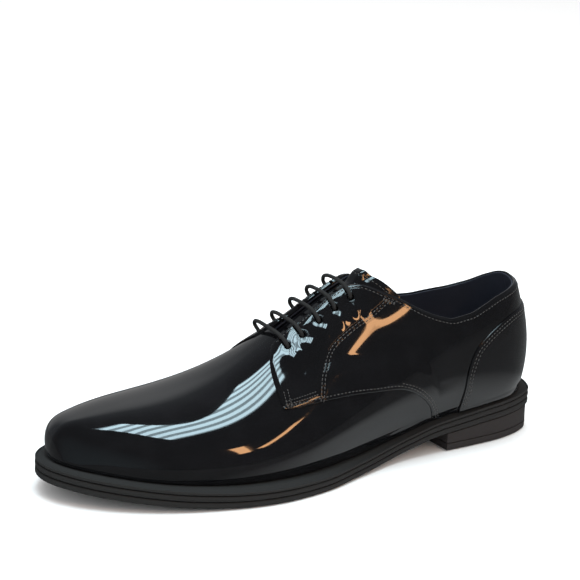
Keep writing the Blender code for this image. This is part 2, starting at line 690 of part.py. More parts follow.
def quarter_grid(side, rows):
    topline = monotone(TOPLINE_LATERAL if side < 0 else TOPLINE_MEDIAL)
    top_s = np.array([4.88, 5.12, 5.36, 5.6, 5.85, 6.1, 6.28, 6.42, 6.56, 6.70, 6.86, 7.05, 7.3, 7.6,
                      7.95, 8.3, 8.7, 9.15, 9.6, 10.0, 10.4, 10.8, 11.2, 11.6, 11.985])
    top = np.column_stack([top_s, topline(top_s)])
    low_s = 4.52 + (top_s - top_s[0]) * (11.985 - 4.52) / (11.985 - top_s[0])
    lower = monotone(LOWER_SEAM + ((12.0, 0.0),))
    bottom = np.column_stack([low_s, lower(low_s)])
    front = through(FRONT_SEAM, rows)
    back = np.column_stack([np.full(rows, 11.985), np.linspace(0, top[-1, 1], rows)])
    return coons(bottom, top, front, back), low_s


def build_quarter(side, word):
    rows = 12
    grid, low_s = quarter_grid(side, rows)
    s, v = grid[..., 0], grid[..., 1]
    base, normal = skin(s, v, LEATHER_D, side)
    from_front = np.linalg.norm(base - base[:1], axis=-1)
    from_seam = np.linalg.norm(base - base[:, :1], axis=-1)
    seam_lap = 1 - smoothstep(LAP_WIDTH, LAP_WIDTH + 6, from_seam)
    seam_lap = seam_lap * (1 - smoothstep(8.08, 8.42, low_s))[:, None]
    front_lap = 1 - smoothstep(LAP_WIDTH, LAP_WIDTH + 6, from_front)
    lap = np.maximum(seam_lap, front_lap) * (LAP_D - LEATHER_D)
    inner, _ = skin(s, v, LEATHER_D + lap, side)
    outer, _ = skin(s, v, LEATHER_D + LEATHER_T + lap, side)
    at_feather = low_s > 7.87
    drop_to = np.where(low_s > 8.4, INSOLE_LOW, SEAT_GAP)
    for grid_points in (outer, inner):
        x = grid_points[at_feather, 0, 0]
        grid_points[at_feather, 0, 2] = sole_top(x) + drop_to[at_feather]
    patent = material(f"quarter_{word}_patent", BLACK_PATENT, 0.08, 0.0, 1.0)
    quarter = sheet(f"quarter_{word}", outer, inner, patent)

    lining = build_quarter_lining(side, word)
    stay = build_stay(side, word)
    nickel = material(f"eyelet_{word}_metal", (0.05, 0.05, 0.055), 0.35, 1.0)
    for number, s_eye in enumerate(EYELET_S, 1):
        place, axis = skin(np.array([s_eye]), np.array([EYELET_V]), STIFFENER_D, side)
        place, axis = place[0], axis[0]
        hole = [(HOLE_R, -3.0), (HOLE_R, 4.5)]
        drill = helper(turned(f"eyelet_hole_{word}_{number}", hole, place, axis, None, 12))
        boolean_cut(quarter, drill)
        boolean_cut(lining, drill)
        seat = [(RING_R + 0.3, -0.5), (RING_R + 0.3, 1.4)]
        boolean_cut(stay, helper(turned(f"eyelet_seat_{word}_{number}", seat, place, axis, None, 10)))
        ring = [(HOLE_R, 0.0), (RING_R, 0.0), (RING_R, RING_T), (HOLE_R, RING_T)]
        turned(f"blind_eyelet_{word}_{number}", ring, place, axis, nickel, 10, hollow=True)


def build_quarter_lining(side, word):
    rows = 10
    topline = monotone(TOPLINE_LATERAL if side < 0 else TOPLINE_MEDIAL)
    top_s = np.array([5.2, 5.5, 5.8, 6.1, 6.3, 6.45, 6.6, 6.8, 7.05, 7.4, 7.8, 8.3, 8.8, 9.4, 9.9, 10.4,
                      10.9, 11.4, 11.98])
    top_v = topline(top_s) - 0.03
    top_v[0] = LINING_FRONT[-1][1]
    top = np.column_stack([top_s, top_v])
    low_s = 4.63 + (top_s - 5.2) * (11.98 - 4.63) / (11.98 - 5.2)
    bottom = np.column_stack([low_s, np.zeros(len(low_s))])
    front = through(LINING_FRONT, rows)
    back = np.column_stack([np.full(rows, 11.98), np.linspace(0, top_v[-1], rows)])
    grid = coons(bottom, top, front, back)
    outer, normal = skin(grid[..., 0], grid[..., 1], LINING_T, side)
    inner, _ = skin(grid[..., 0], grid[..., 1], 0.0, side)
    outer, inner = hem(outer, inner, normal, INSOLE_LOW, False, 0)
    finish = material(f"quarter_lining_{word}_leather", (0.012, 0.014, 0.022), 0.55)
    return sheet(f"quarter_lining_{word}", outer, inner, finish)


def build_stay(side, word):
    s = np.linspace(5.0 - 0.12, 6.35 + 0.14, 12)
    topline = monotone(TOPLINE_LATERAL if side < 0 else TOPLINE_MEDIAL)
    high = np.minimum(topline(s) - 0.12, 3.1)
    low = np.full(len(s), 2.28)
    t = np.linspace(0, 1, 4)
    v = low[:, None] * (1 - t) + high[:, None] * t
    grid_s = np.broadcast_to(s[:, None], v.shape)
    outer, _ = skin(grid_s, v, STIFFENER_D + STIFFENER_T, side)
    inner, _ = skin(grid_s, v, STIFFENER_D, side)
    finish = material(f"facing_stay_{word}_tape", (0.6, 0.58, 0.52), 0.9)
    return sheet(f"facing_stay_{word}", outer, inner, finish)


def heel_wrap(name, edge, distance, thickness, low, margin, finish, columns=13, rows=7):
    """Sheet around the heel, from the outer side to the inner side, up to an edge given as (s, v)."""
    curve = through(edge, columns)
    top = np.vstack([curve, curve[-2::-1] * (-1, 1) + (2 * S_END, 0)])
    first = edge[0][0]
    low_s = np.linspace(first, 2 * S_END - first, len(top))
    t = np.linspace(0, 1, rows)[None, :]
    s = low_s[:, None] * (1 - t) + top[:, :1] * t
    v = np.broadcast_to(top[:, 1:] * t, s.shape)
    outer, inner, normal = np.empty((3,) + s.shape + (3,))
    for i in range(len(top)):
        side = -1 if s[i].mean() <= S_END else 1
        s_row = np.minimum(s[i], 2 * S_END - s[i])
        outer[i], normal[i] = skin(s_row, v[i], distance + thickness, side)
        inner[i], _ = skin(s_row, v[i], distance, side)
    outer, inner = hem(outer, inner, normal, low, margin, 0)
    return sheet(name, outer, inner, finish)


def build_heel_wraps():
    patent = material("heel_foxing_patent", BLACK_PATENT, 0.08, 0.0, 1.0)
    edge = ((8.48, 0.06),) + FOXING_TOP[1:]
    heel_wrap("heel_foxing", edge, LAP_D, LEATHER_T, SEAT_GAP, True, patent)
    board = material("counter_board", (0.62, 0.52, 0.40), 0.8)
    edge = ((8.9, 0.05), (9.0, 0.5), (9.4, 0.85), (10.2, 1.0), (12.0, 1.05))
    heel_wrap("counter_stiffener", edge, STIFFENER_D, STIFFENER_T, INSOLE_LOW, False, board, 11, 6)


def tongue_grid(rows, across):
    side_v = monotone(TONGUE_SIDE)
    w = np.linspace(-1, 1, across)
    u = np.linspace(0, 1, rows)
    s = np.empty((rows, across))
    v = np.empty((rows, across))
    for j, share in enumerate(w):
        for i, along in enumerate(u):
            s_here = TONGUE_BASE_S + along * (TONGUE_TOP_S - TONGUE_BASE_S)
            for _ in range(4):
                half = V_RIDGE - float(side_v(s_here))
                top = TONGUE_TOP_S + 0.12 * (share * half) ** 2
                s_here = TONGUE_BASE_S + along * (top - TONGUE_BASE_S)
            s[i, j] = s_here
            v[i, j] = V_RIDGE + share * half
    return s, v


def tongue_depth(s, v):
    """Outer face of the tongue: under the vamp at its base, clear of the lace beside the ridge."""
    off = np.abs(v - V_RIDGE)
    side_level = -0.6 - TONGUE_DROP * smoothstep(0.75, 1.08, off)
    end_level = -0.7 + 3.2 * (1 - smoothstep(0.35, 0.9, off))
    level = side_level + (end_level - side_level) * smoothstep(6.5, 6.75, s)
    base = smoothstep(4.74, 5.12, s)
    return (LEATHER_D - 0.5) * (1 - base) + level * base


def build_tongue():
    s, v = tongue_grid(12, 13)
    depth = tongue_depth(s, v)
    pivot = (skin(np.array([TONGUE_BASE_S]), np.array([V_RIDGE]), 1.0)[0])[0]
    pivot[1] = CENTRE_Y
    outer, _ = skin(s, v, depth)
    inner, _ = skin(s, v, depth - LEATHER_T)
    patent = material("tongue_patent", BLACK_PATENT, 0.10, 0.0, 1.0)
    sheet("tongue", outer, inner, patent, pivot)
    u = slice(1, None)
    s_in = s[u, 1:-1] - 0.012
    v_in = v[u, 1:-1]
    outer, _ = skin(s_in, v_in, tongue_depth(s_in, v_in) - LEATHER_T - 0.4)
    inner, _ = skin(s_in, v_in, tongue_depth(s_in, v_in) - LEATHER_T - 1.1)
    lining = material("tongue_lining_textile", (0.015, 0.016, 0.022), 0.7)
    sheet("tongue_lining", outer, inner, lining, pivot)
    return pivot


# ---------------------------------------------------------------- shoelace

def lace_point(side, s, v, depth):
    return skin(np.array([s]), np.array([v]), depth, side)[0][0]


def bar_points(number, from_side):
    """Over the shoe from one eyelet to its partner."""
    s = EYELET_S[number - 1]
    lap = LAP_D - LEATHER_D if number == 1 else 0.0
    rest = LEATHER_D + LEATHER_T + LACE_R + 0.5 + lap
    half = [(EYELET_V, -0.7), (EYELET_V, 1.6), (EYELET_V + 0.01, 3.8 + lap), (EYELET_V + 0.12, rest + 0.5),
            (3.1, rest + 0.9), (3.5, rest + 0.8)]
    points = [lace_point(from_side, s, v, depth) for v, depth in half]
    points.append(lace_point(from_side, s, V_RIDGE, rest + 0.5))
    points += [lace_point(-from_side, s, v, depth) for v, depth in half[::-1]]
    return points


def under_points(side, stops):
    """Beneath one facing: stops are (s, v) at the run's depth."""
    return [lace_point(side, s, v, RUN_DEPTH) for s, v in stops]


def build_lace():
    shift = 0.175
    e = EYELET_S
    v0 = EYELET_V
    out, inn = -1, 1
    one = under_points(out, [(e[0] + 0.05, v0), (e[0] + 0.15, v0), (e[1] - 0.05, v0)])
    one += bar_points(2, out)
    one += under_points(inn, [(e[1] + 0.05, v0 + 0.03), (e[1] + 0.17, v0 + shift * 0.6), (e[2], v0 + shift),
                              (e[3] - 0.16, v0 + shift * 0.6), (e[3] - 0.05, v0 + 0.03)])
    one += bar_points(4, inn)
    one += under_points(out, [(e[3] - 0.05, v0 + 0.03), (e[3] - 0.17, v0 + shift), (e[3] - 0.33, v0 + 0.24)])
    other = under_points(inn, [(e[0] + 0.05, v0 - 0.03), (e[0] + 0.15, v0 - shift * 0.6), (e[1], v0 - shift),
                               (e[2] - 0.17, v0 - shift * 0.6), (e[2] - 0.05, v0 - 0.03)])
    other += bar_points(3, inn)
    other += under_points(out, [(e[2] + 0.05, v0 - 0.03), (e[2] + 0.17, v0 - shift * 0.6), (e[3], v0 - shift),
                                (e[4] - 0.16, v0 - shift * 0.6), (e[4] - 0.05, v0 - 0.03)])
    other += bar_points(5, out)
    other += under_points(inn, [(e[4] - 0.05, v0 - 0.03), (e[4] - 0.17, v0 - shift), (e[4] - 0.33, v0 - 0.24)])
    first = bar_points(1, out)
    route = one[::-1] + first + other
    route = smooth_route(np.array(route), 1)
    black = material("lace_cord", (0.012, 0.012, 0.014), 0.55)
    cord("shoelace", route, LACE_R, black)
    tip = material("aglet_plastic", (0.01, 0.01, 0.01), 0.25)
    tails = ((out, e[3] - 0.33, v0 + 0.24), (inn, e[4] - 0.33, v0 - 0.24))
    for number, (side, s_end, v_end) in enumerate(tails, 1):
        stops = [(s_end - 0.045 - 0.08 * k, v_end) for k in range(3)]
        cord(f"aglet_{number}", np.array(under_points(side, stops)), LACE_R * 0.95, tip)


def smooth_route(points, passes):
    """Takes the corners off a route without moving its ends."""
    for _ in range(passes):
        inner = 0.5 * points[1:-1] + 0.25 * (points[:-2] + points[2:])
        points = np.vstack([points[:1], inner, points[-1:]])
    return points


def cord(name, route, radius, finish):
    line = bpy.data.curves.new(name, "CURVE")
    line.dimensions = "3D"
    line.bevel_depth = radius * MM
    line.bevel_resolution = 2
    line.use_fill_caps = True
    spline = line.splines.new("POLY")
    spline.points.add(len(route) - 1)
    for point, place in zip(spline.points, (route - (CENTRE_X, CENTRE_Y, 0.0)) * MM):
        point.co = (*place, 1.0)
    made = bpy.data.objects.new(name, line)
    line.materials.append(finish)
    bpy.context.scene.collection.objects.link(made)
    return made


def main():
    for old in list(bpy.data.objects):
        bpy.data.objects.remove(old)
    outsole, midsole = build_sole()
    heel, lift = build_heel()
    build_taps(outsole, midsole, heel, lift)
    build_insole()
    build_vamp()
    for side, word in ((-1, "lateral"), (1, "medial")):
        build_quarter(side, word)
    build_heel_wraps()
    build_tongue()
    build_lace()


main()
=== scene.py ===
"""Looks of a left tap shoe: a plain-toe derby in black patent leather on a grooved rubber sole.

Frame: toe towards -X, heel towards +X, outer (lateral) side towards -Y, +Z up, floor at Z 0.
Shapes are worked out in millimetres and turned into metres when a mesh is made.

The upper lies over one last surface. A point of it has a length coordinate s (0 at the toe
tip, 12 at the back of the heel), a girth coordinate v (0 at the feather edge of its own side,
4 at the ridge) and a depth in millimetres outwards from the last.
"""

from __future__ import annotations

import logging
import math
from collections.abc import Callable, Sequence
from dataclasses import dataclass, field
from enum import Enum

import bmesh
import bpy
import numpy as np
from mathutils import Matrix, Vector


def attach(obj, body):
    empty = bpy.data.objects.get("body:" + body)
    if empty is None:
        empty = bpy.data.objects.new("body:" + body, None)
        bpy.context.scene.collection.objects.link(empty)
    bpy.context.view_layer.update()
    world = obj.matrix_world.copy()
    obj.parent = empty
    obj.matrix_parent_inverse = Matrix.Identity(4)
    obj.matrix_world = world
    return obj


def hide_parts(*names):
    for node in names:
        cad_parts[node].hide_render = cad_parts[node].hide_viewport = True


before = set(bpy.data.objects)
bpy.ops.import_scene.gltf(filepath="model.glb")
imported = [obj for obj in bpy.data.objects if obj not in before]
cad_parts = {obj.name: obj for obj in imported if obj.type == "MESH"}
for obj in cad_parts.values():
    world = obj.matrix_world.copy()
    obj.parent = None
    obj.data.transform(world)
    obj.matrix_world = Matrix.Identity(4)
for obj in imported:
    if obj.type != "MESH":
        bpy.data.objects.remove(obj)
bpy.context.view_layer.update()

MM = 0.001
FAR = 99.0
HEM_STEPS = ((1.1, 0.0), (0.5, 0.3), (0.12, 1.0), (0.0, 2.4), (0.0, 7.5))
Array = np.ndarray
Socket = bpy.types.NodeSocket
Thing = bpy.types.Object
Curve = Callable[[Array], Array]
Colour = tuple[float, float, float]
log = logging.getLogger("tap_shoe")


class Side(Enum):
    """Side of the foot: the outer one or the inner one."""

    LATERAL = -1
    MEDIAL = 1


class Rim(Enum):
    """How the outline of a sheet closes: all round, or to a point at its first row."""

    RING = "ring"
    POINT = "point"


# ---------------------------------------------------------------- curves


def smoothstep(low: float, high: float, x: Array) -> Array:
    """Smooth rise from 0 at low to 1 at high."""
    t = np.clip((np.asarray(x, float) - low) / (high - low), 0.0, 1.0)
    return t * t * (3.0 - 2.0 * t)


def monotone(table: Sequence[tuple[float, float]]) -> Curve:
    """Makes a smooth function that doesn't overshoot its points.

    Args:
        table: Pairs of x and y, in any order.

    Returns:
        The function, held level past its first and last points.
    """
    xs, ys = np.array(sorted(table), float).T
    step = np.diff(xs)
    slope = np.diff(ys) / step
    product = slope[:-1] * slope[1:]
    total = slope[:-1] + slope[1:]
    safe = np.where(np.abs(total) > 1e-12, total, 1.0)
    inner = np.where(product > 0, 2.0 * product / safe, 0.0)
    tangent = np.concatenate([slope[:1], inner, slope[-1:]])

    def value(x: Array) -> Array:
        """Value of the curve at x."""
        x = np.clip(np.asarray(x, float), xs[0], xs[-1])
        i = np.clip(np.searchsorted(xs, x, side="right") - 1, 0, len(xs) - 2)
        h = step[i]
        t = (x - xs[i]) / h
        low = (1 + 2 * t) * (1 - t) ** 2 * ys[i] + t * (1 - t) ** 2 * h * tangent[i]
        return low + t * t * (3 - 2 * t) * ys[i + 1] + t * t * (t - 1) * h * tangent[i + 1]

    return value


def through(points: Sequence[Sequence[float]], count: int, closed: bool = False) -> Array:
    """Spaces points evenly on a smooth curve through the given ones.

    Args:
        points: Points that the curve passes through.
        count: How many points to return.
        closed: Whether the curve returns to its first point.

    Returns:
        An array of count points.
    """
    p = np.array(points, float)
    if closed:
        ring = np.vstack([p[-2:], p, p[:3]])
    else:
        ring = np.vstack([2 * p[0] - p[1], p, 2 * p[-1] - p[-2]])
    knots = np.concatenate([[0.0], np.cumsum(np.linalg.norm(np.diff(ring, axis=0), axis=1))])
    slope = np.diff(ring, axis=0) / np.diff(knots)[:, None]
    weight = np.diff(knots)[:, None]
    tangent = (slope[:-1] * weight[1:] + slope[1:] * weight[:-1]) / (weight[1:] + weight[:-1])
    first, last = (2, 2 + len(p)) if closed else (1, len(p))
    dense = []
    for i in range(first, last):
        h = knots[i + 1] - knots[i]
        t = np.linspace(0, 1, 40, endpoint=False)[:, None]
        a = (1 + 2 * t) * (1 - t) ** 2 * ring[i] + t * (1 - t) ** 2 * h * tangent[i - 1]
        dense.append(a + t * t * (3 - 2 * t) * ring[i + 1] + t * t * (t - 1) * h * tangent[i])
    line = np.vstack([*dense, ring[last][None]])
    along = np.concatenate([[0.0], np.cumsum(np.linalg.norm(np.diff(line, axis=0), axis=1))])
    want = np.linspace(0, along[-1], count, endpoint=not closed)
    return np.stack([np.interp(want, along, line[:, k]) for k in range(p.shape[1])], axis=1)


def spaced(count: int, dense_from: float, dense_to: float, gain: float) -> Array:
    """Spaces shares from 0 to 1 more closely between two of them.

    Args:
        count: How many shares.
        dense_from: Start of the close part.
        dense_to: End of the close part.
        gain: How much closer they are there, 1 for twice as close.

    Returns:
        The shares, rising from 0 to 1.
    """
    x = np.linspace(0, 1, 801)
    rise = smoothstep(dense_from - 0.06, dense_from, x) * (1 - smoothstep(dense_to, dense_to + 0.06, x))
    total = np.concatenate([[0.0], np.cumsum(1 + gain * (rise[1:] + rise[:-1]) / 2)])
    return np.interp(np.linspace(0, total[-1], count), total, x)


def nearest(points: Array, line: Array) -> Array:
    """Distance from each point to the closest vertex of a closely spaced line."""
    flat = points.reshape(-1, 3)
    found = np.empty(len(flat))
    for start in range(0, len(flat), 2000):
        part = flat[start : start + 2000]
        found[start : start + 2000] = np.sqrt(((part[:, None] - line[None]) ** 2).sum(-1).min(1))
    return found.reshape(points.shape[:-1])


# ---------------------------------------------------------------- forms


@dataclass(frozen=True)
class SoleForm:
    """Outline and levels of the sole, in millimetres."""

    toe_spring: float = 9.2
    heel_height: float = 15.2
    welt_width: float = 13.0
    outsole_share: float = 0.36
    midsole_share: float = 0.70
    breast_x: float = 78.0
    tap_proud: float = 0.4
    lift_t: float = 4.0
    outline: tuple[tuple[float, float, float], ...] = (
        (152, 0, 0), (150, 11.5, 11), (145, 20.5, 20), (136, 26, 27.5), (120, 31, 34),
        (100, 33, 34.5), (75, 34, 31.5), (45, 36, 29.5), (15, 44, 33.5), (-15, 53.5, 42),
        (-45, 56.5, 49), (-75, 51.5, 52), (-100, 43, 50), (-120, 32.5, 43), (-135, 21, 35),
        (-145, 10, 26), (-150, 1.5, 18), (-152, -8, 8),
    )
    underside: tuple[tuple[float, float, float], ...] = (
        (-152, 1.0, 0), (-135, 0.76, 0), (-115, 0.5, 0), (-90, 0.207, 0), (-60, 0.033, 0),
        (-20, 0, 0), (10, 0, 0.053), (30, 0, 0.171), (50, 0, 0.382), (70, 0, 0.658),
        (85, 0, 0.757), (110, 0, 0.895), (150, 0, 1.0),
    )
    edge: tuple[tuple[float, float], ...] = (
        (-152, 10.5), (-100, 10.2), (-50, 9.4), (0, 9.0), (60, 9.2), (100, 10.0), (152, 11.0),
    )

    def bottom(self, x: Array) -> Array:
        """Height of the underside at x."""
        spring = monotone([(a, t) for a, t, _ in self.underside])(x)
        return self.toe_spring * spring + self.heel_height * monotone([(a, h) for a, _, h in self.underside])(x)

    def level(self, share: float, lift: float = 0.0) -> Curve:
        """Height of a layer: a share of the edge's thickness, plus a lift."""
        edge = monotone(self.edge)
        return lambda x: self.bottom(x) + share * edge(x) + lift

    def top(self, x: Array) -> Array:
        """Height of the top of the welt at x."""
        return self.level(1.0)(x)

    def loop(self) -> Array:
        """Closed outline of the sole, seen from above."""
        outer = [(x, -w) for x, w, _ in self.outline]
        inner = [(x, w) for x, _, w in self.outline[1:-1]]
        return through(outer + inner[::-1], 1440, closed=True)

    def ring(self, inset: float, height: Curve, count: int = 150, x_from: float | None = None) -> Array:
        """Makes a closed ring round the sole.

        Args:
            inset: Distance in from the outline.
            height: Height of the ring as a function of x.
            count: Points on each side.
            x_from: Where the ring starts, for the heel; None is the toe.

        Returns:
            The outer side from toe to heel, then the inner side back.
        """
        loop = OUTLINE
        ahead = np.roll(loop, -3, axis=0) - np.roll(loop, 3, axis=0)
        ahead /= np.linalg.norm(ahead, axis=1)[:, None]
        inward = np.stack([ahead[:, 1], -ahead[:, 0]], axis=1)
        if (inward * (loop.mean(axis=0) - loop)).sum() < 0:
            inward = -inward
        loop = loop + inward * inset
        toe, heel = int(loop[:, 0].argmin()), int(loop[:, 0].argmax())
        turned = np.roll(loop, -toe, axis=0)
        back = (heel - toe) % len(loop)
        branches = [turned[: back + 1], np.vstack([turned[back:], turned[:1]])[::-1]]
        branches.sort(key=lambda branch: branch[:, 1].mean())
        t = np.linspace(0, 1, count)
        if x_from is None:
            sides = [self.evenly(branch, t) for branch in branches]
        else:
            kept = [branch[branch[:, 0] >= x_from] for branch in branches]
            starts = [(x_from, np.interp(x_from, b[:, 0], b[:, 1])) for b in branches]
            sides = [self.evenly(np.vstack([s, k]), t) for s, k in zip(starts, kept)]
        flat = np.vstack([sides[0], sides[1][::-1]])
        return np.column_stack([flat, height(flat[:, 0])])

    @staticmethod
    def evenly(line: Array, t: Array) -> Array:
        """Points at shares t of a line's length."""
        along = np.concatenate([[0.0], np.cumsum(np.linalg.norm(np.diff(line, axis=0), axis=1))])
        return np.stack([np.interp(t * along[-1], along, line[:, k]) for k in (0, 1)], axis=1)


SOLE = SoleForm()
OUTLINE = SOLE.loop()
CENTRE = np.array([
    (OUTLINE[:, 0].min() + OUTLINE[:, 0].max()) / 2,
    (OUTLINE[:, 1].min() + OUTLINE[:, 1].max()) / 2,
    0.0,
])


@dataclass(frozen=True)
class LastForm:
    """The last as a cubic spline surface through cross-sections, in millimetres.

    Each section is x, half width outside and inside, lift of the feather above the welt,
    height, shift of the ridge, swell, four girth shares and the angle of its fan.
    """

    heel_s: float = 12.0
    ridge_v: float = 4.0
    toe_direction: tuple[float, float, float] = (-1.0, -0.12, 0.0)
    girth_steps: tuple[float, ...] = (0, 0.2, 0.5, 0.85, 1.0, 1.0)
    sections: tuple[tuple[float, ...], ...] = (
        (-143, 1, 17, 2.6, 13, 8, 0, 0.95, 0.75, 0.95, 0.75, 0),
        (-131, 13, 27, 2.6, 17, 7, 1, 0.95, 0.78, 0.95, 0.78, 0),
        (-108, 31, 34.5, 2.5, 24, 7, 2, 0.96, 0.74, 0.96, 0.76, 0),
        (-78, 40.5, 41, 2.6, 29.5, 6, 2, 0.96, 0.68, 0.96, 0.72, 0),
        (-48, 45.5, 39.5, 2.6, 39, 5, 2.5, 0.92, 0.60, 0.96, 0.67, 0),
        (-18, 43, 32.5, 3.0, 56, 3, 4, 0.86, 0.50, 0.94, 0.60, 0),
        (12, 35.5, 26, 4.0, 76, 2, 5.5, 0.82, 0.43, 0.92, 0.56, 0),
        (42, 29, 24, 4.6, 86, 1, 7, 0.86, 0.50, 0.96, 0.56, 0),
        (72, 27.5, 25.5, 3.4, 90, 0, 6, 0.96, 0.72, 0.98, 0.70, 0),
        (102, 28, 29, 3.9, 90, 0, 5, 0.97, 0.78, 0.98, 0.78, 0),
        (108, 31, 31, 4.6, 90, 0, 4.5, 0.93, 0.70, 0.95, 0.72, 32),
        (108, 34.5, 34.5, 5.2, 89, 0, 3.6, 0.88, 0.64, 0.89, 0.64, 62),
        (108, 37, 37, 5.6, 89, 0, 3.2, 0.86, 0.61, 0.86, 0.61, 90),
    )

    def net(self) -> Array:
        """Control net, closed to a point at the toe and mirrored past the heel."""
        net = []
        for x, out_w, in_w, lift, height, ridge, swell, k2o, k3o, k2i, k3i, fan in self.sections:
            angle = math.radians(fan)
            floor = float(SOLE.top(x + (out_w + in_w) / 2 * math.sin(angle))) + lift
            sides = []
            for side, width, k2, k3 in ((-1, out_w, k2o, k3o), (1, in_w, k2i, k3i)):
                reach = (width, width + swell, k2 * width + 0.8 * swell, k3 * width, 0.5 * k3 * width, 0)
                points = []
                for r, t in zip(reach, self.girth_steps):
                    y = side * r * math.cos(angle) + ridge * t
                    points.append((x + r * math.sin(angle), y, floor + t * height))
                sides.append(points)
            net.append(sides[0] + sides[1][-2::-1])
        rows = np.array(net)
        first = rows[0]
        tip = np.broadcast_to((first[0, 0], (first[0, 1] + first[-1, 1]) / 2, first[0, 2]), first.shape)
        return np.concatenate([tip[None], rows, rows[-2][::-1][None], rows[-3][::-1][None]])


LAST = LastForm()
NET = LAST.net()
KNOTS_S = np.concatenate([[0.0] * 4, np.arange(1, NET.shape[0] + 1)])
GIRTH = NET.shape[1] - 3.0
KNOTS_V = np.concatenate([[0.0] * 4, np.arange(1, NET.shape[1] - 3), [GIRTH] * 4])


def spline_rows(count: int, knots: Array, t: Array) -> Array:
    """Weights of the control points of a cubic spline.

    Args:
        count: Number of control points.
        knots: Knots of the spline.
        t: Where the weights are wanted.

    Returns:
        One row of weights for each value of t.
    """
    t = np.asarray(t, float).ravel()
    rows = np.array([(t >= knots[i]) & (t < knots[i + 1]) for i in range(len(knots) - 1)], float).T
    last = np.max(np.nonzero(np.diff(knots) > 0)[0])
    rows[t >= knots[last + 1], last] = 1.0
    for degree in (1, 2, 3):
        raised = np.zeros((len(t), len(knots) - 1 - degree))
        for i in range(raised.shape[1]):
            left = knots[i + degree] - knots[i]
            right = knots[i + degree + 1] - knots[i + 1]
            if left > 0:
                raised[:, i] += (t - knots[i]) / left * rows[:, i]
            if right > 0:
                raised[:, i] += (knots[i + degree + 1] - t) / right * rows[:, i + 1]
        rows = raised
    return rows[:, :count]


def last_points(s: Array, v: Array) -> Array:
    """Points of the last's surface, with v counted across the whole girth from the outer side."""
    rows = spline_rows(NET.shape[0], KNOTS_S, s)
    cols = spline_rows(NET.shape[1], KNOTS_V, v)
    return np.einsum("nj,njk->nk", cols, np.tensordot(rows, NET, axes=1))


def skin(s: Array, v: Array, depth: Array | float, side: Side = Side.LATERAL) -> tuple[Array, Array]:
    """Points at a depth outside the last.

    Args:
        s: Length coordinates.
        v: Girth coordinates from the feather edge of that side.
        depth: Distance outwards from the last.
        side: Side that v counts from.

    Returns:
        The points and the outward normals, in the shape of s.
    """
    s, v, depth = np.broadcast_arrays(np.asarray(s, float), np.asarray(v, float), depth)
    shape = s.shape
    s, v, depth = s.ravel(), v.ravel(), depth.ravel()
    v = v if side is Side.LATERAL else GIRTH - v
    e = 1e-3
    s_in = np.clip(s, 0.02, LAST.heel_s)
    v_in = np.clip(v, e, GIRTH - e)
    along = last_points(s_in + e, v_in) - last_points(s_in - e, v_in)
    around = last_points(s_in, v_in + e) - last_points(s_in, v_in - e)
    normal = np.cross(along, around)
    normal[s < 1e-6] = np.array(LAST.toe_direction)
    normal /= np.linalg.norm(normal, axis=1)[:, None]
    points = last_points(s, v) + normal * depth[:, None]
    return points.reshape(shape + (3,)), normal.reshape(shape + (3,))


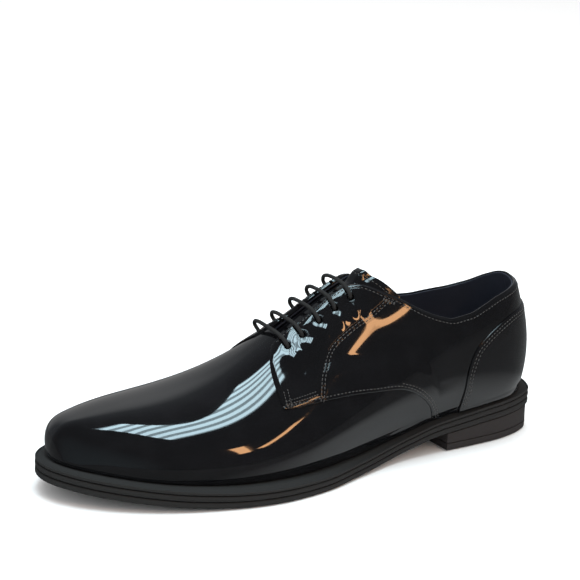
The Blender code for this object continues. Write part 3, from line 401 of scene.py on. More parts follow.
@dataclass(frozen=True)
class Layers:
    """Depths of the layers of the upper and the lines they end on."""

    lining_t: float = 0.8
    leather: float = 3.3
    lap: float = 4.35
    lap_width: float = 12.5
    insole_low: float = 1.5
    eyelet_s: tuple[float, ...] = (5.04, 5.34, 5.69, 6.02, 6.35)
    eyelet_v: float = 2.66
    hole_r: float = 1.95
    back_s: float = 11.985
    foxing_low: tuple[float, float] = (8.48, 0.06)
    foxing_seams: tuple[float, float] = (1.5, 3.4)
    front_seam: tuple[tuple[float, float], ...] = ((4.52, 1.30), (4.54, 1.78), (4.64, 2.53), (4.88, 3.28))
    lower_seam: tuple[tuple[float, float], ...] = (
        (4.52, 1.30), (5.27, 1.04), (5.86, 0.86), (6.40, 0.71), (6.96, 0.58), (7.26, 0.46),
        (7.52, 0.31), (7.73, 0.15), (7.87, 0.0),
    )
    topline_lateral: tuple[tuple[float, float], ...] = (
        (4.88, 3.28), (5.1, 3.38), (6.1, 3.38), (6.3, 3.34), (6.44, 3.22), (6.56, 3.03), (6.70, 2.74),
        (6.84, 2.47), (6.98, 2.24), (7.22, 1.97), (7.45, 1.73), (7.73, 1.51), (8.01, 1.36),
        (8.27, 1.28), (8.60, 1.28), (8.95, 1.34), (9.47, 1.43), (10.5, 1.48), (12.0, 1.50),
    )
    topline_medial: tuple[tuple[float, float], ...] = (
        (4.88, 3.28), (5.1, 3.38), (6.26, 3.39), (6.42, 3.36), (6.55, 3.24), (6.66, 3.03), (6.78, 2.74),
        (6.89, 2.47), (7.01, 2.24), (7.23, 1.92), (7.45, 1.66), (7.73, 1.43), (8.37, 1.22),
        (8.76, 1.16), (9.49, 1.14), (10.17, 1.20), (10.94, 1.36), (11.6, 1.47), (12.0, 1.50),
    )
    lining_front: tuple[tuple[float, float], ...] = (
        (4.63, 0.0), (4.64, 1.0), (4.67, 1.9), (4.78, 2.6), (5.0, 3.34),
    )
    foxing_top: tuple[tuple[float, float], ...] = (
        (8.48, 0.0), (8.51, 0.21), (8.53, 0.44), (8.60, 0.59), (8.72, 0.73), (8.88, 0.82),
        (9.26, 0.96), (9.68, 1.05), (10.6, 1.08), (12.0, 1.08),
    )
    vamp_end: tuple[tuple[float, float], ...] = (
        (0, 8.03), (0.15, 7.95), (0.31, 7.78), (0.46, 7.53), (0.58, 7.28), (0.75, 6.8), (0.9, 6.3),
        (1.05, 5.85), (1.25, 5.32), (1.5, 4.92), (1.9, 4.82), (2.5, 4.9), (3.2, 5.06), (4, 5.1),
    )
    facing_row: tuple[tuple[float, float], ...] = (
        (6.96, 2.03), (6.65, 1.92), (6.30, 1.88), (5.95, 1.84), (5.72, 1.78), (5.55, 1.63),
        (5.41, 1.46), (5.22, 1.07),
    )

    def topline(self, side: Side) -> Curve:
        """Girth coordinate of the topline on that side."""
        return monotone(self.topline_lateral if side is Side.LATERAL else self.topline_medial)

    def eyelets(self, depth: float, side: Side, ahead: float = 0.0, drop: float = 0.0) -> tuple[Array, Array]:
        """Points and normals at a side's lace holes, or moved from them in s and down in v."""
        s = np.array(self.eyelet_s) + ahead
        return skin(s, np.full(len(s), self.eyelet_v - drop), depth, side)

    def foxing_edge(self) -> tuple[tuple[float, float], ...]:
        """Front and top edge of the heel foxing, from just above the feather."""
        return (self.foxing_low, *self.foxing_top[1:])


LAYERS = Layers()


# ---------------------------------------------------------------- meshes


def linked(name: str, data: bpy.types.ID) -> Thing:
    """Makes an object of that data and adds it to the scene.

    Args:
        name: Name of the object.
        data: Its mesh, camera or light.

    Returns:
        The object, at the origin.
    """
    thing = bpy.data.objects.new(name, data)
    bpy.context.scene.collection.objects.link(thing)
    return thing


def made_mesh(
    name: str,
    points: Array,
    faces: Sequence[Sequence[int]],
    finish: bpy.types.Material,
    marks: dict[str, Array] | None = None,
    uv: Array | None = None,
    crease: float = 40.0,
) -> Thing:
    """Makes a closed, smooth object from points in millimetres.

    Args:
        name: Name of the piece.
        points: Its points, in millimetres.
        faces: Its faces, as indices of points.
        finish: Its material.
        marks: Values at each point, such as the distance to a seam, by name.
        uv: Pattern coordinates at each point.
        crease: Angle in degrees past which an edge stays sharp.

    Returns:
        The object, at the origin, with its place in its mesh.
    """
    mesh = bpy.data.meshes.new(name)
    mesh.from_pydata(((points - CENTRE) * MM).tolist(), [], [tuple(f) for f in faces])
    for mark, values in (marks or {}).items():
        mesh.attributes.new(mark, "FLOAT", "POINT").data.foreach_set("value", values.astype(np.float32))
    if uv is not None:
        corners = np.empty(len(mesh.loops), np.int32)
        mesh.loops.foreach_get("vertex_index", corners)
        mesh.uv_layers.new(name="pattern").data.foreach_set("uv", uv[corners].astype(np.float32).ravel())
    shape = bmesh.new()
    shape.from_mesh(mesh)
    bmesh.ops.remove_doubles(shape, verts=shape.verts, dist=2e-6)
    bmesh.ops.dissolve_degenerate(shape, edges=shape.edges, dist=1e-6)
    if shape.calc_volume(signed=True) < 0:
        bmesh.ops.reverse_faces(shape, faces=shape.faces)
    shape.to_mesh(mesh)
    shape.free()
    mesh.shade_smooth()
    mesh.set_sharp_from_angle(angle=math.radians(crease))
    mesh.materials.append(finish)
    return linked(name, mesh)


def ring_faces(count: int, size: int, closed: bool) -> list[tuple[int, int, int, int]]:
    """Faces between rings of equal size that follow each other, and back to the first if closed."""
    faces = []
    for low in range(count if closed else count - 1):
        high = (low + 1) % count
        for i in range(size):
            j = (i + 1) % size
            faces.append((low * size + i, low * size + j, high * size + j, high * size + i))
    return faces


def layered(name: str, rings: Sequence[Array], finish: bpy.types.Material, hollow: bool = False) -> Thing:
    """Piece of the sole through matching rings.

    Args:
        name: Name of the piece.
        rings: Rings from SoleForm.ring, in the order of its outline.
        finish: Its material.
        hollow: True for a band that closes on itself, False for flat ends.

    Returns:
        The object.
    """
    size = len(rings[0])
    faces: list[tuple[int, ...]] = list(ring_faces(len(rings), size, hollow))
    if not hollow:
        top = (len(rings) - 1) * size
        for i in range(size // 2 - 1):
            k = size - 1 - i
            faces.append((i, k, k - 1, i + 1))
            faces.append((top + i, top + i + 1, top + k - 1, top + k))
    return made_mesh(name, np.vstack(rings), faces, finish)


def leather_sheet(
    name: str,
    outer: Array,
    inner: Array,
    bead: float,
    finish: bpy.types.Material,
    rim: Rim = Rim.RING,
    reach: int = 1,
    marks: dict[str, Array] | None = None,
) -> Thing:
    """Sheet between two matching grids of points, with a rounded edge.

    Args:
        name: Name of the piece.
        outer: Grid of its outer face.
        inner: Grid of its inner face.
        bead: How far the rounded edge stands past the grids.
        finish: Its material.
        rim: How its outline closes.
        reach: How many grid points inside the edge its direction is taken from.
        marks: Values at each grid point, by name.

    Returns:
        The object.
    """
    rows, cols = outer.shape[:2]
    size = rows * cols
    grid = np.arange(size).reshape(rows, cols)
    quads = np.stack([grid[:-1, :-1], grid[:-1, 1:], grid[1:, 1:], grid[1:, :-1]], axis=-1).reshape(-1, 4)
    faces = quads.tolist() + (quads[:, ::-1] + size).tolist()
    edge = [(i, 0) for i in range(rows)] + [(rows - 1, j) for j in range(1, cols)]
    edge += [(i, cols - 1) for i in range(rows - 2, -1, -1)]
    if rim is Rim.RING:
        edge += [(0, j) for j in range(cols - 2, 0, -1)]
    i, j = np.array(edge).T
    inside = outer[np.clip(i, reach, rows - 1 - reach), np.clip(j, reach, cols - 1 - reach)]
    away = outer[i, j] - inside
    away /= np.maximum(np.linalg.norm(away, axis=1), 1e-9)[:, None]
    stand = np.full(len(edge), bead)
    if rim is Rim.POINT:
        stand[[0, -1]] = 0.0
    middle, half = (outer[i, j] + inner[i, j]) / 2, (outer[i, j] - inner[i, j]) / 2
    turns = [middle + half * math.cos(a) + away * (stand * math.sin(a))[:, None]
             for a in np.radians((25, 50, 75, 105, 130, 155))]
    count = len(edge)
    index = i * cols + j
    bands = [index, *(2 * size + k * count + np.arange(count) for k in range(len(turns))), index + size]
    for low, high in zip(bands, bands[1:]):
        last = count - 1 if rim is Rim.POINT else count
        for k in range(last):
            n = (k + 1) % count
            faces.append((low[k], low[n], high[n], high[k]))
    points = np.vstack([outer.reshape(-1, 3), inner.reshape(-1, 3), *turns])
    spread = {}
    for mark, values in (marks or {}).items():
        flat = values.ravel()
        spread[mark] = np.concatenate([flat, np.full(size, FAR), np.tile(flat[index], len(turns))])
    return made_mesh(name, points, faces, finish, spread, crease=60.0)


def hem(outer: Array, inner: Array, normal: Array, column: int, low: float, share: Array | float = 1.0) -> tuple:
    """Carries a sheet's edge down to the welt and in under the insole.

    Args:
        outer: Grid of the outer face.
        inner: Grid of the inner face.
        normal: Outward normals of the grid.
        column: Edge column, 0 or -1.
        low: Height of the fold above the welt.
        share: How much of the hem each row has.

    Returns:
        The two grids with the hem's columns added.
    """
    inward = normal[:, column].copy()
    inward[:, 2] = 0
    inward /= -np.linalg.norm(inward, axis=1)[:, None]
    share = np.broadcast_to(share, len(inward))[:, None]
    grids = []
    for grid, lift in ((outer, 0.0), (inner, 0.7)):
        edge = grid[:, column]
        added = []
        for height, go_in in HEM_STEPS:
            place = edge + inward * go_in
            place[:, 2] = SOLE.top(place[:, 0]) + low + height + lift
            added.append(edge + (place - edge) * share)
        stacked = np.stack(added[::-1] if column == 0 else added, axis=1)
        grids.append(np.concatenate([stacked, grid] if column == 0 else [grid, stacked], axis=1))
    return grids[0], grids[1]


def widened(grid: Array) -> Array:
    """Repeats a grid's first column for the columns that a hem adds before it."""
    return np.concatenate([np.repeat(grid[:, :1], len(HEM_STEPS), axis=1), grid], axis=1)


def coons(bottom: Array, top: Array, front: Array, back: Array, along: Array, up: Array) -> Array:
    """Fills four edges of (s, v) points with a grid.

    Args:
        bottom: Lower edge, one point for each column.
        top: Upper edge.
        front: Front edge, one point for each row.
        back: Back edge.
        along: Share of each column from front to back.
        up: Share of each row from bottom to top.

    Returns:
        The grid, columns first.
    """
    c, t = along[:, None, None], up[None, :, None]
    rule = (1 - t) * bottom[:, None] + t * top[:, None]
    cross = (1 - c) * front[None] + c * back[None]
    corners = (1 - c) * ((1 - t) * bottom[0] + t * top[0]) + c * ((1 - t) * bottom[-1] + t * top[-1])
    return rule + cross - corners


def swept(
    name: str, route: Array, radius: Array, finish: bpy.types.Material, sides: int = 14
) -> Thing:
    """Round cord along a route, with rounded ends and pattern coordinates round and along it.

    Args:
        name: Name of the piece.
        route: Points of its centre line.
        radius: Radius at each point.
        finish: Its material.
        sides: Points round it.

    Returns:
        The object.
    """
    ahead = np.gradient(route, axis=0)
    ahead /= np.linalg.norm(ahead, axis=1)[:, None]
    up = np.empty_like(route)
    first = np.cross(ahead[0], (0.0, 1.0, 0.3))
    up[0] = first / np.linalg.norm(first)
    for k in range(1, len(route)):
        turned = up[k - 1] - ahead[k] * (up[k - 1] @ ahead[k])
        up[k] = turned / np.linalg.norm(turned)
    across = np.cross(ahead, up)
    angle = np.linspace(0, 2 * np.pi, sides, endpoint=False)
    circle = np.cos(angle)[None, :, None] * up[:, None] + np.sin(angle)[None, :, None] * across[:, None]
    points = (route[:, None] + circle * radius[:, None, None]).reshape(-1, 3)
    length = np.concatenate([[0.0], np.cumsum(np.linalg.norm(np.diff(route, axis=0), axis=1))])
    uv = np.stack(np.broadcast_arrays(angle[None, :] / (2 * np.pi), length[:, None]), axis=-1).reshape(-1, 2)
    faces: list[tuple[int, ...]] = list(ring_faces(len(route), sides, False))
    faces.append(tuple(range(sides))[::-1])
    faces.append(tuple(range((len(route) - 1) * sides, len(route) * sides)))
    return made_mesh(name, points, faces, finish, uv=uv, crease=50.0)


def bored(target: Thing, places: Sequence[tuple[Array, Array]], radius: float) -> None:
    """Cuts round holes through a piece and leaves it a plain mesh.

    Args:
        target: Piece to cut.
        places: Centre, in millimetres, and axis of each hole.
        radius: Radius of the holes.
    """
    shape = bmesh.new()
    for place, axis in places:
        spin = Vector((0, 0, 1)).rotation_difference(Vector(axis)).to_matrix().to_4x4()
        at = Matrix.Translation(Vector((place - CENTRE) * MM)) @ spin
        bmesh.ops.create_cone(shape, cap_ends=True, segments=40, radius1=radius * MM, radius2=radius * MM,
                              depth=7 * MM, matrix=at)
    mesh = bpy.data.meshes.new("punch")
    shape.to_mesh(mesh)
    shape.free()
    carved(target, linked("punch", mesh))
    target.data.set_sharp_from_angle(angle=math.radians(50))


def carved(target: Thing, cutter: Thing) -> None:
    """Cuts one piece out of another, exactly, and removes the cutter.

    Args:
        target: Piece to cut.
        cutter: Closed piece that is taken out of it.
    """
    cut = target.modifiers.new("cut", "BOOLEAN")
    cut.operation, cut.solver, cut.object = "DIFFERENCE", "EXACT", cutter
    baked(target)
    bpy.data.objects.remove(cutter)


def baked(piece: Thing) -> None:
    """Turns a piece's modifiers into its plain mesh."""
    graph = bpy.context.evaluated_depsgraph_get()
    mesh = bpy.data.meshes.new_from_object(piece.evaluated_get(graph))
    piece.modifiers.clear()
    piece.data = mesh


# ---------------------------------------------------------------- finishes


class Graph:
    """Adds and links the nodes of one tree."""

    def __init__(self, tree: bpy.types.NodeTree) -> None:
        """Works on that tree."""
        self.tree = tree

    def add(self, kind: str, values: dict | None = None, **settings: object) -> bpy.types.Node:
        """Adds a node.

        Args:
            kind: Type name of the node.
            values: Values or sockets for its inputs, by name or number.
            settings: Properties of the node.

        Returns:
            The node.
        """
        node = self.tree.nodes.new(kind)
        for key, value in settings.items():
            setattr(node, key, value)
        for key, value in (values or {}).items():
            if isinstance(value, Socket):
                self.tree.links.new(value, node.inputs[key])
            else:
                node.inputs[key].default_value = value
        return node

    def math(self, operation: str, *values: object) -> Socket:
        """Result of a Math node on those values or sockets."""
        return self.add("ShaderNodeMath", dict(enumerate(values)), operation=operation).outputs[0]


class Effect(Enum):
    """Surface effects shared by several finishes, each one shader node group."""

    RIPPLE = "Ripple"
    GROOVE = "Groove"
    DUST = "Dust"
    WEAVE = "Weave"
    BRAID = "Braid"


def effect_sockets(effect: Effect) -> tuple[Graph, bpy.types.Node, bpy.types.NodeTree, list[str]]:
    """Starts an effect's node group with its named inputs and outputs.

    Args:
        effect: Effect to start.

    Returns:
        Its graph, its input node, its tree and the names of its outputs.
    """
    floats = {
        Effect.RIPPLE: {"Broad Scale": 40.0, "Fine Scale": 900.0, "Fine Share": 0.05},
        Effect.GROOVE: {"Distance": FAR, "Centre": 0.0, "Width": 0.7},
        Effect.DUST: {"Scale": 60.0, "Amount": 0.5},
        Effect.WEAVE: {"Scale": 1500.0},
        Effect.BRAID: {"Strands": 4.0, "Pitch": 2.6},
    }[effect]
    outputs = {
        Effect.RIPPLE: ["Height", "Mask"],
        Effect.GROOVE: ["Height"],
        Effect.DUST: ["Mask"],
        Effect.WEAVE: ["Height", "Mask"],
        Effect.BRAID: ["Height"],
    }[effect]
    tree = bpy.data.node_groups.new(effect.value, "ShaderNodeTree")
    if effect is not Effect.GROOVE:
        tree.interface.new_socket("Vector", in_out="INPUT", socket_type="NodeSocketVector")
    for name, value in floats.items():
        tree.interface.new_socket(name, in_out="INPUT", socket_type="NodeSocketFloat").default_value = value
    for name in outputs:
        tree.interface.new_socket(name, in_out="OUTPUT", socket_type="NodeSocketFloat")
    graph = Graph(tree)
    return graph, graph.add("NodeGroupInput"), tree, outputs


def effect_tree(effect: Effect) -> bpy.types.NodeTree:
    """Node group of an effect, built once."""
    found = bpy.data.node_groups.get(effect.value)
    if found:
        return found
    graph, start, tree, outputs = effect_sockets(effect)
    of = start.outputs
    if effect is Effect.GROOVE:
        off = graph.math("DIVIDE", graph.math("SUBTRACT", of["Distance"], of["Centre"]), of["Width"])
        fall = graph.math("EXPONENT", graph.math("MULTIPLY", graph.math("MULTIPLY", off, off), -1.0))
        results = [graph.math("MULTIPLY", fall, -1.0)]
    elif effect is Effect.RIPPLE:
        broad = graph.add("ShaderNodeTexNoise", {"Vector": of["Vector"], "Scale": of["Broad Scale"], "Detail": 1.0})
        fine = graph.add("ShaderNodeTexNoise", {"Vector": of["Vector"], "Scale": of["Fine Scale"], "Detail": 3.0})
        low = graph.math("MULTIPLY", fine.outputs["Fac"], of["Fine Share"])
        results = [graph.math("ADD", broad.outputs["Fac"], low), fine.outputs["Fac"]]
    elif effect is Effect.DUST:
        noise = graph.add("ShaderNodeTexNoise", {"Vector": of["Vector"], "Scale": of["Scale"], "Detail": 6.0})
        ramp = graph.add("ShaderNodeMapRange", {"Value": noise.outputs["Fac"], 1: 0.45, 2: 0.75})
        results = [graph.math("MULTIPLY", ramp.outputs[0], of["Amount"])]
    elif effect is Effect.WEAVE:
        split = graph.add("ShaderNodeSeparateXYZ", {"Vector": of["Vector"]})
        waves = [graph.math("SINE", graph.math("MULTIPLY", split.outputs[k], of["Scale"])) for k in range(3)]
        product = graph.math("MULTIPLY", graph.math("MULTIPLY", waves[0], waves[1]), waves[2])
        both = graph.math("ADD", graph.math("MULTIPLY", waves[0], waves[2]), product)
        results = [both, graph.math("MULTIPLY_ADD", both, 0.5, 0.5)]
    else:
        split = graph.add("ShaderNodeSeparateXYZ", {"Vector": of["Vector"]})
        around = graph.math("MULTIPLY", graph.math("MULTIPLY", split.outputs[0], of["Strands"]), 2 * math.pi)
        along = graph.math("MULTIPLY", graph.math("DIVIDE", split.outputs[1], of["Pitch"]), 2 * math.pi)
        one = graph.math("SINE", graph.math("ADD", around, along))
        other = graph.math("SINE", graph.math("SUBTRACT", around, along))
        results = [graph.math("MAXIMUM", one, other)]
    end = graph.add("NodeGroupOutput")
    for name, result in zip(outputs, results):
        tree.links.new(result, end.inputs[name])
    return tree


@dataclass(frozen=True)
class Finish:
    """A finish that is the same on every piece of its kind."""

    name: str
    slot: str
    colour: Colour
    tint: Colour
    roughness: tuple[float, float]
    metallic: float = 0.0
    specular: float = 0.5
    coat: float = 0.0
    coat_roughness: float = 0.03
    grain_scale: float = 900.0
    grain_depth: float = 0.02
    dust: float = 0.3
    effect: Effect = Effect.RIPPLE

    def material(self) -> bpy.types.Material:
        """The material of this finish, made once."""
        found = bpy.data.materials.get(self.name)
        if found:
            return found
        material = bpy.data.materials.new(self.name)
        material.use_nodes = True
        graph = Graph(material.node_tree)
        shader = material.node_tree.nodes["Principled BSDF"]
        for key, value in (("Specular IOR Level", self.specular), ("Coat Weight", self.coat),
                           ("Coat Roughness", self.coat_roughness)):
            shader.inputs[key].default_value = value
        shader.inputs["Metallic"].default_value = self.metallic
        self.dress(graph, shader)
        return material

    def dress(self, graph: Graph, shader: bpy.types.Node) -> None:
        """Links colour, roughness and relief to the shader."""
        place = graph.add("ShaderNodeTexCoord").outputs["Object"]
        dust = self.group(graph, Effect.DUST, {"Vector": place, "Scale": 70.0, "Amount": self.dust})
        colour = graph.add("ShaderNodeMix", {"Factor": dust.outputs["Mask"], "A": (*self.colour, 1.0),
                                             "B": (*self.tint, 1.0)}, data_type="RGBA")
        graph.tree.links.new(colour.outputs["Result"], shader.inputs["Base Color"])
        height, mask = self.relief(graph, place)
        low, high = self.roughness
        rough = graph.add("ShaderNodeMapRange", {"Value": mask, 3: low, 4: high})
        graph.tree.links.new(rough.outputs[0], shader.inputs["Roughness"])
        graph.tree.links.new(self.bumps(graph, height), shader.inputs["Normal"])

    def relief(self, graph: Graph, place: Socket) -> tuple[Socket, Socket]:
        """Height and mask of the surface's own grain."""
        if self.effect is Effect.WEAVE:
            grain = self.group(graph, Effect.WEAVE, {"Vector": place, "Scale": self.grain_scale})
        else:
            values = {"Vector": place, "Broad Scale": self.grain_scale / 6, "Fine Scale": self.grain_scale,
                      "Fine Share": 0.6}
            grain = self.group(graph, Effect.RIPPLE, values)
        return grain.outputs["Height"], grain.outputs["Mask"]

    def bumps(self, graph: Graph, height: Socket) -> Socket:
        """Normal with the surface's own grain."""
        bump = graph.add("ShaderNodeBump", {"Height": height, "Distance": self.grain_depth * MM, "Strength": 1.0})
        return bump.outputs["Normal"]

    @staticmethod
    def group(graph: Graph, effect: Effect, values: dict) -> bpy.types.Node:
        """Places an effect's node group with its own values."""
        return graph.add("ShaderNodeGroup", values, node_tree=effect_tree(effect))


@dataclass(frozen=True)
class PatentLeather(Finish):
    """Glossy lacquered leather that ripples softly and is pulled down along its seams."""

    ripple_scale: float = 38.0
    ripple_depth: float = 0.3
    seam_width: float = 0.75
    seam_depth: float = 0.22
    eyelet_r: float = 2.9
    eyelet_depth: float = 0.16

    def bumps(self, graph: Graph, height: Socket) -> Socket:
        """Normal with ripples, seam grooves and the rings pressed up round the lace holes."""
        place = graph.add("ShaderNodeTexCoord").outputs["Object"]
        seam = graph.add("ShaderNodeAttribute", attribute_name="seam").outputs["Fac"]
        eyelet = graph.add("ShaderNodeAttribute", attribute_name="eyelet").outputs["Fac"]
        values = {"Vector": place, "Broad Scale": self.ripple_scale, "Fine Scale": 420.0, "Fine Share": 0.025}
        ripple = self.group(graph, Effect.RIPPLE, values)
        groove = self.group(graph, Effect.GROOVE, {"Distance": seam, "Width": self.seam_width})
        ring = self.group(graph, Effect.GROOVE, {"Distance": eyelet, "Centre": self.eyelet_r, "Width": 0.7})
        normal = None
        for group, depth in ((ripple, self.ripple_depth), (groove, self.seam_depth), (ring, -self.eyelet_depth)):
            values = {"Height": group.outputs["Height"], "Distance": abs(depth) * MM, "Strength": 1.0}
            bump = graph.add("ShaderNodeBump", values)
            bump.invert = depth < 0
            if normal is not None:
                graph.tree.links.new(normal, bump.inputs["Normal"])
            normal = bump.outputs["Normal"]
        return normal


@dataclass(frozen=True)
class WaxedCord(Finish):
    """Round braided cord with a waxed surface, patterned along its own length."""

    strands: float = 4.0
    pitch: float = 2.4

    def relief(self, graph: Graph, place: Socket) -> tuple[Socket, Socket]:
        """Height of the braid, and the fine mask of the wax."""
        pattern = graph.add("ShaderNodeUVMap", uv_map="pattern").outputs["UV"]
        values = {"Vector": pattern, "Strands": self.strands, "Pitch": self.pitch}
        braid = self.group(graph, Effect.BRAID, values)
        wax = self.group(graph, Effect.RIPPLE, {"Vector": place, "Fine Scale": 600.0})
        return braid.outputs["Height"], wax.outputs["Mask"]


PATENT = PatentLeather("patent_leather", "patent_upper", (0.0035, 0.0036, 0.0042), (0.007, 0.007, 0.008),
                       (0.04, 0.075), coat=1.0, specular=0.2, dust=0.5)
LINING = Finish("lining_calf", "lining_leather", (0.022, 0.027, 0.042), (0.034, 0.040, 0.058), (0.42, 0.6),
                grain_scale=1100.0, grain_depth=0.05)
LINING_CLOTH = Finish("lining_twill", "lining_textile", (0.010, 0.012, 0.018), (0.02, 0.02, 0.026), (0.6, 0.85),
                      grain_scale=5200.0, grain_depth=0.06, effect=Effect.WEAVE)
LACE = WaxedCord("waxed_lace", "waxed_lace", (0.006, 0.006, 0.007), (0.016, 0.016, 0.017), (0.3, 0.45),
                 grain_depth=0.07, specular=0.6)
THREAD = Finish("sewing_thread", "patent_upper", (0.055, 0.053, 0.052), (0.08, 0.078, 0.075), (0.35, 0.5),
                grain_scale=3000.0, grain_depth=0.02)
RUBBER = Finish("sole_rubber", "sole_rubber", (0.010, 0.011, 0.013), (0.024, 0.025, 0.028), (0.2, 0.32),
                grain_scale=1400.0, grain_depth=0.03, dust=0.6)
# Heel block and top lift: the black rubber with a warm brown tone painted in, a painted sheen standing in for a
# warm reflection on the heel; the dust mask mixes in a paler brown in random patches.
HEEL_RUBBER = Finish("heel_rubber", "heel_rubber", (0.024, 0.022, 0.020), (0.048, 0.041, 0.035), (0.24, 0.38),
                     grain_scale=1400.0, grain_depth=0.03, dust=0.8)
TIP = Finish("aglet_plastic", "aglet_plastic", (0.008, 0.008, 0.008), (0.014, 0.014, 0.014), (0.15, 0.25),
             grain_depth=0.01)
TAP_STEEL = Finish("tap_plate_steel", "tap_steel", (0.56, 0.56, 0.58), (0.42, 0.41, 0.40), (0.18, 0.38), 1.0,
                   grain_scale=2600.0, grain_depth=0.012)
SCREW_STEEL = Finish("screw_steel", "screw_steel", (0.60, 0.60, 0.62), (0.46, 0.45, 0.44), (0.22, 0.4), 1.0,
                     grain_scale=2600.0, grain_depth=0.01)
EYELET_METAL = Finish("blind_eyelet_metal", "blackened_metal", (0.05, 0.05, 0.055), (0.09, 0.085, 0.08),
                      (0.3, 0.5), 1.0, grain_depth=0.01)
BOARD = Finish("fibre_board", "stiffener_board", (0.30, 0.22, 0.15), (0.38, 0.30, 0.21), (0.75, 0.92),
               grain_scale=1800.0, grain_depth=0.08, dust=0.9)
TAPE = Finish("stay_tape", "stay_tape", (0.55, 0.53, 0.47), (0.62, 0.60, 0.54), (0.8, 0.95),
              grain_scale=5200.0, grain_depth=0.05, effect=Effect.WEAVE)
CORK = Finish("filler_cork", "cork", (0.30, 0.18, 0.09), (0.16, 0.09, 0.05), (0.8, 0.95),
              grain_scale=900.0, grain_depth=0.2, dust=1.0)
SHANK_STEEL = Finish("shank_steel", "spring_steel", (0.42, 0.43, 0.46), (0.30, 0.30, 0.32), (0.28, 0.45), 1.0,
                     grain_depth=0.01)


# ---------------------------------------------------------------- the upper


def placed(piece: Thing, body: str, finish: Finish, *nodes: str) -> Thing:
    """Lets a finished piece ride on its body and stand for its CAD nodes.

    Args:
        piece: Finished piece.
        body: Body that it moves with.
        finish: Not used.
        nodes: CAD nodes that it stands for.

    Returns:
        The piece.
    """
    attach(piece, body)
    if nodes:
        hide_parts(*nodes)
    log.info("%s: %d points on %s", piece.name, len(piece.data.vertices), body)
    return piece


def lifted(line: Sequence[tuple[float, float]], offset: float, side: Side, count: int = 400) -> tuple[Array, Array]:
    """Moves a line of (s, v) points sideways over the leather.

    Args:
        line: Points of the line.
        offset: Distance in millimetres to the side on which v grows, or less than 0 to the other.
        side: Side of the foot.
        count: Points wanted.

    Returns:
        The points on the leather's own level, and their normals.
    """
    s, v = through(line, count).T
    points, normal = skin(s, v, LAYERS.leather, side)
    up, _ = skin(s, np.clip(v + 0.02, 0, GIRTH), LAYERS.leather, side)
    ahead = np.gradient(points, axis=0)
    ahead /= np.linalg.norm(ahead, axis=1)[:, None]
    sideways = np.cross(normal, ahead)
    sideways *= np.sign(((up - points) * sideways).sum(axis=1))[:, None]
    return points + sideways * offset, normal


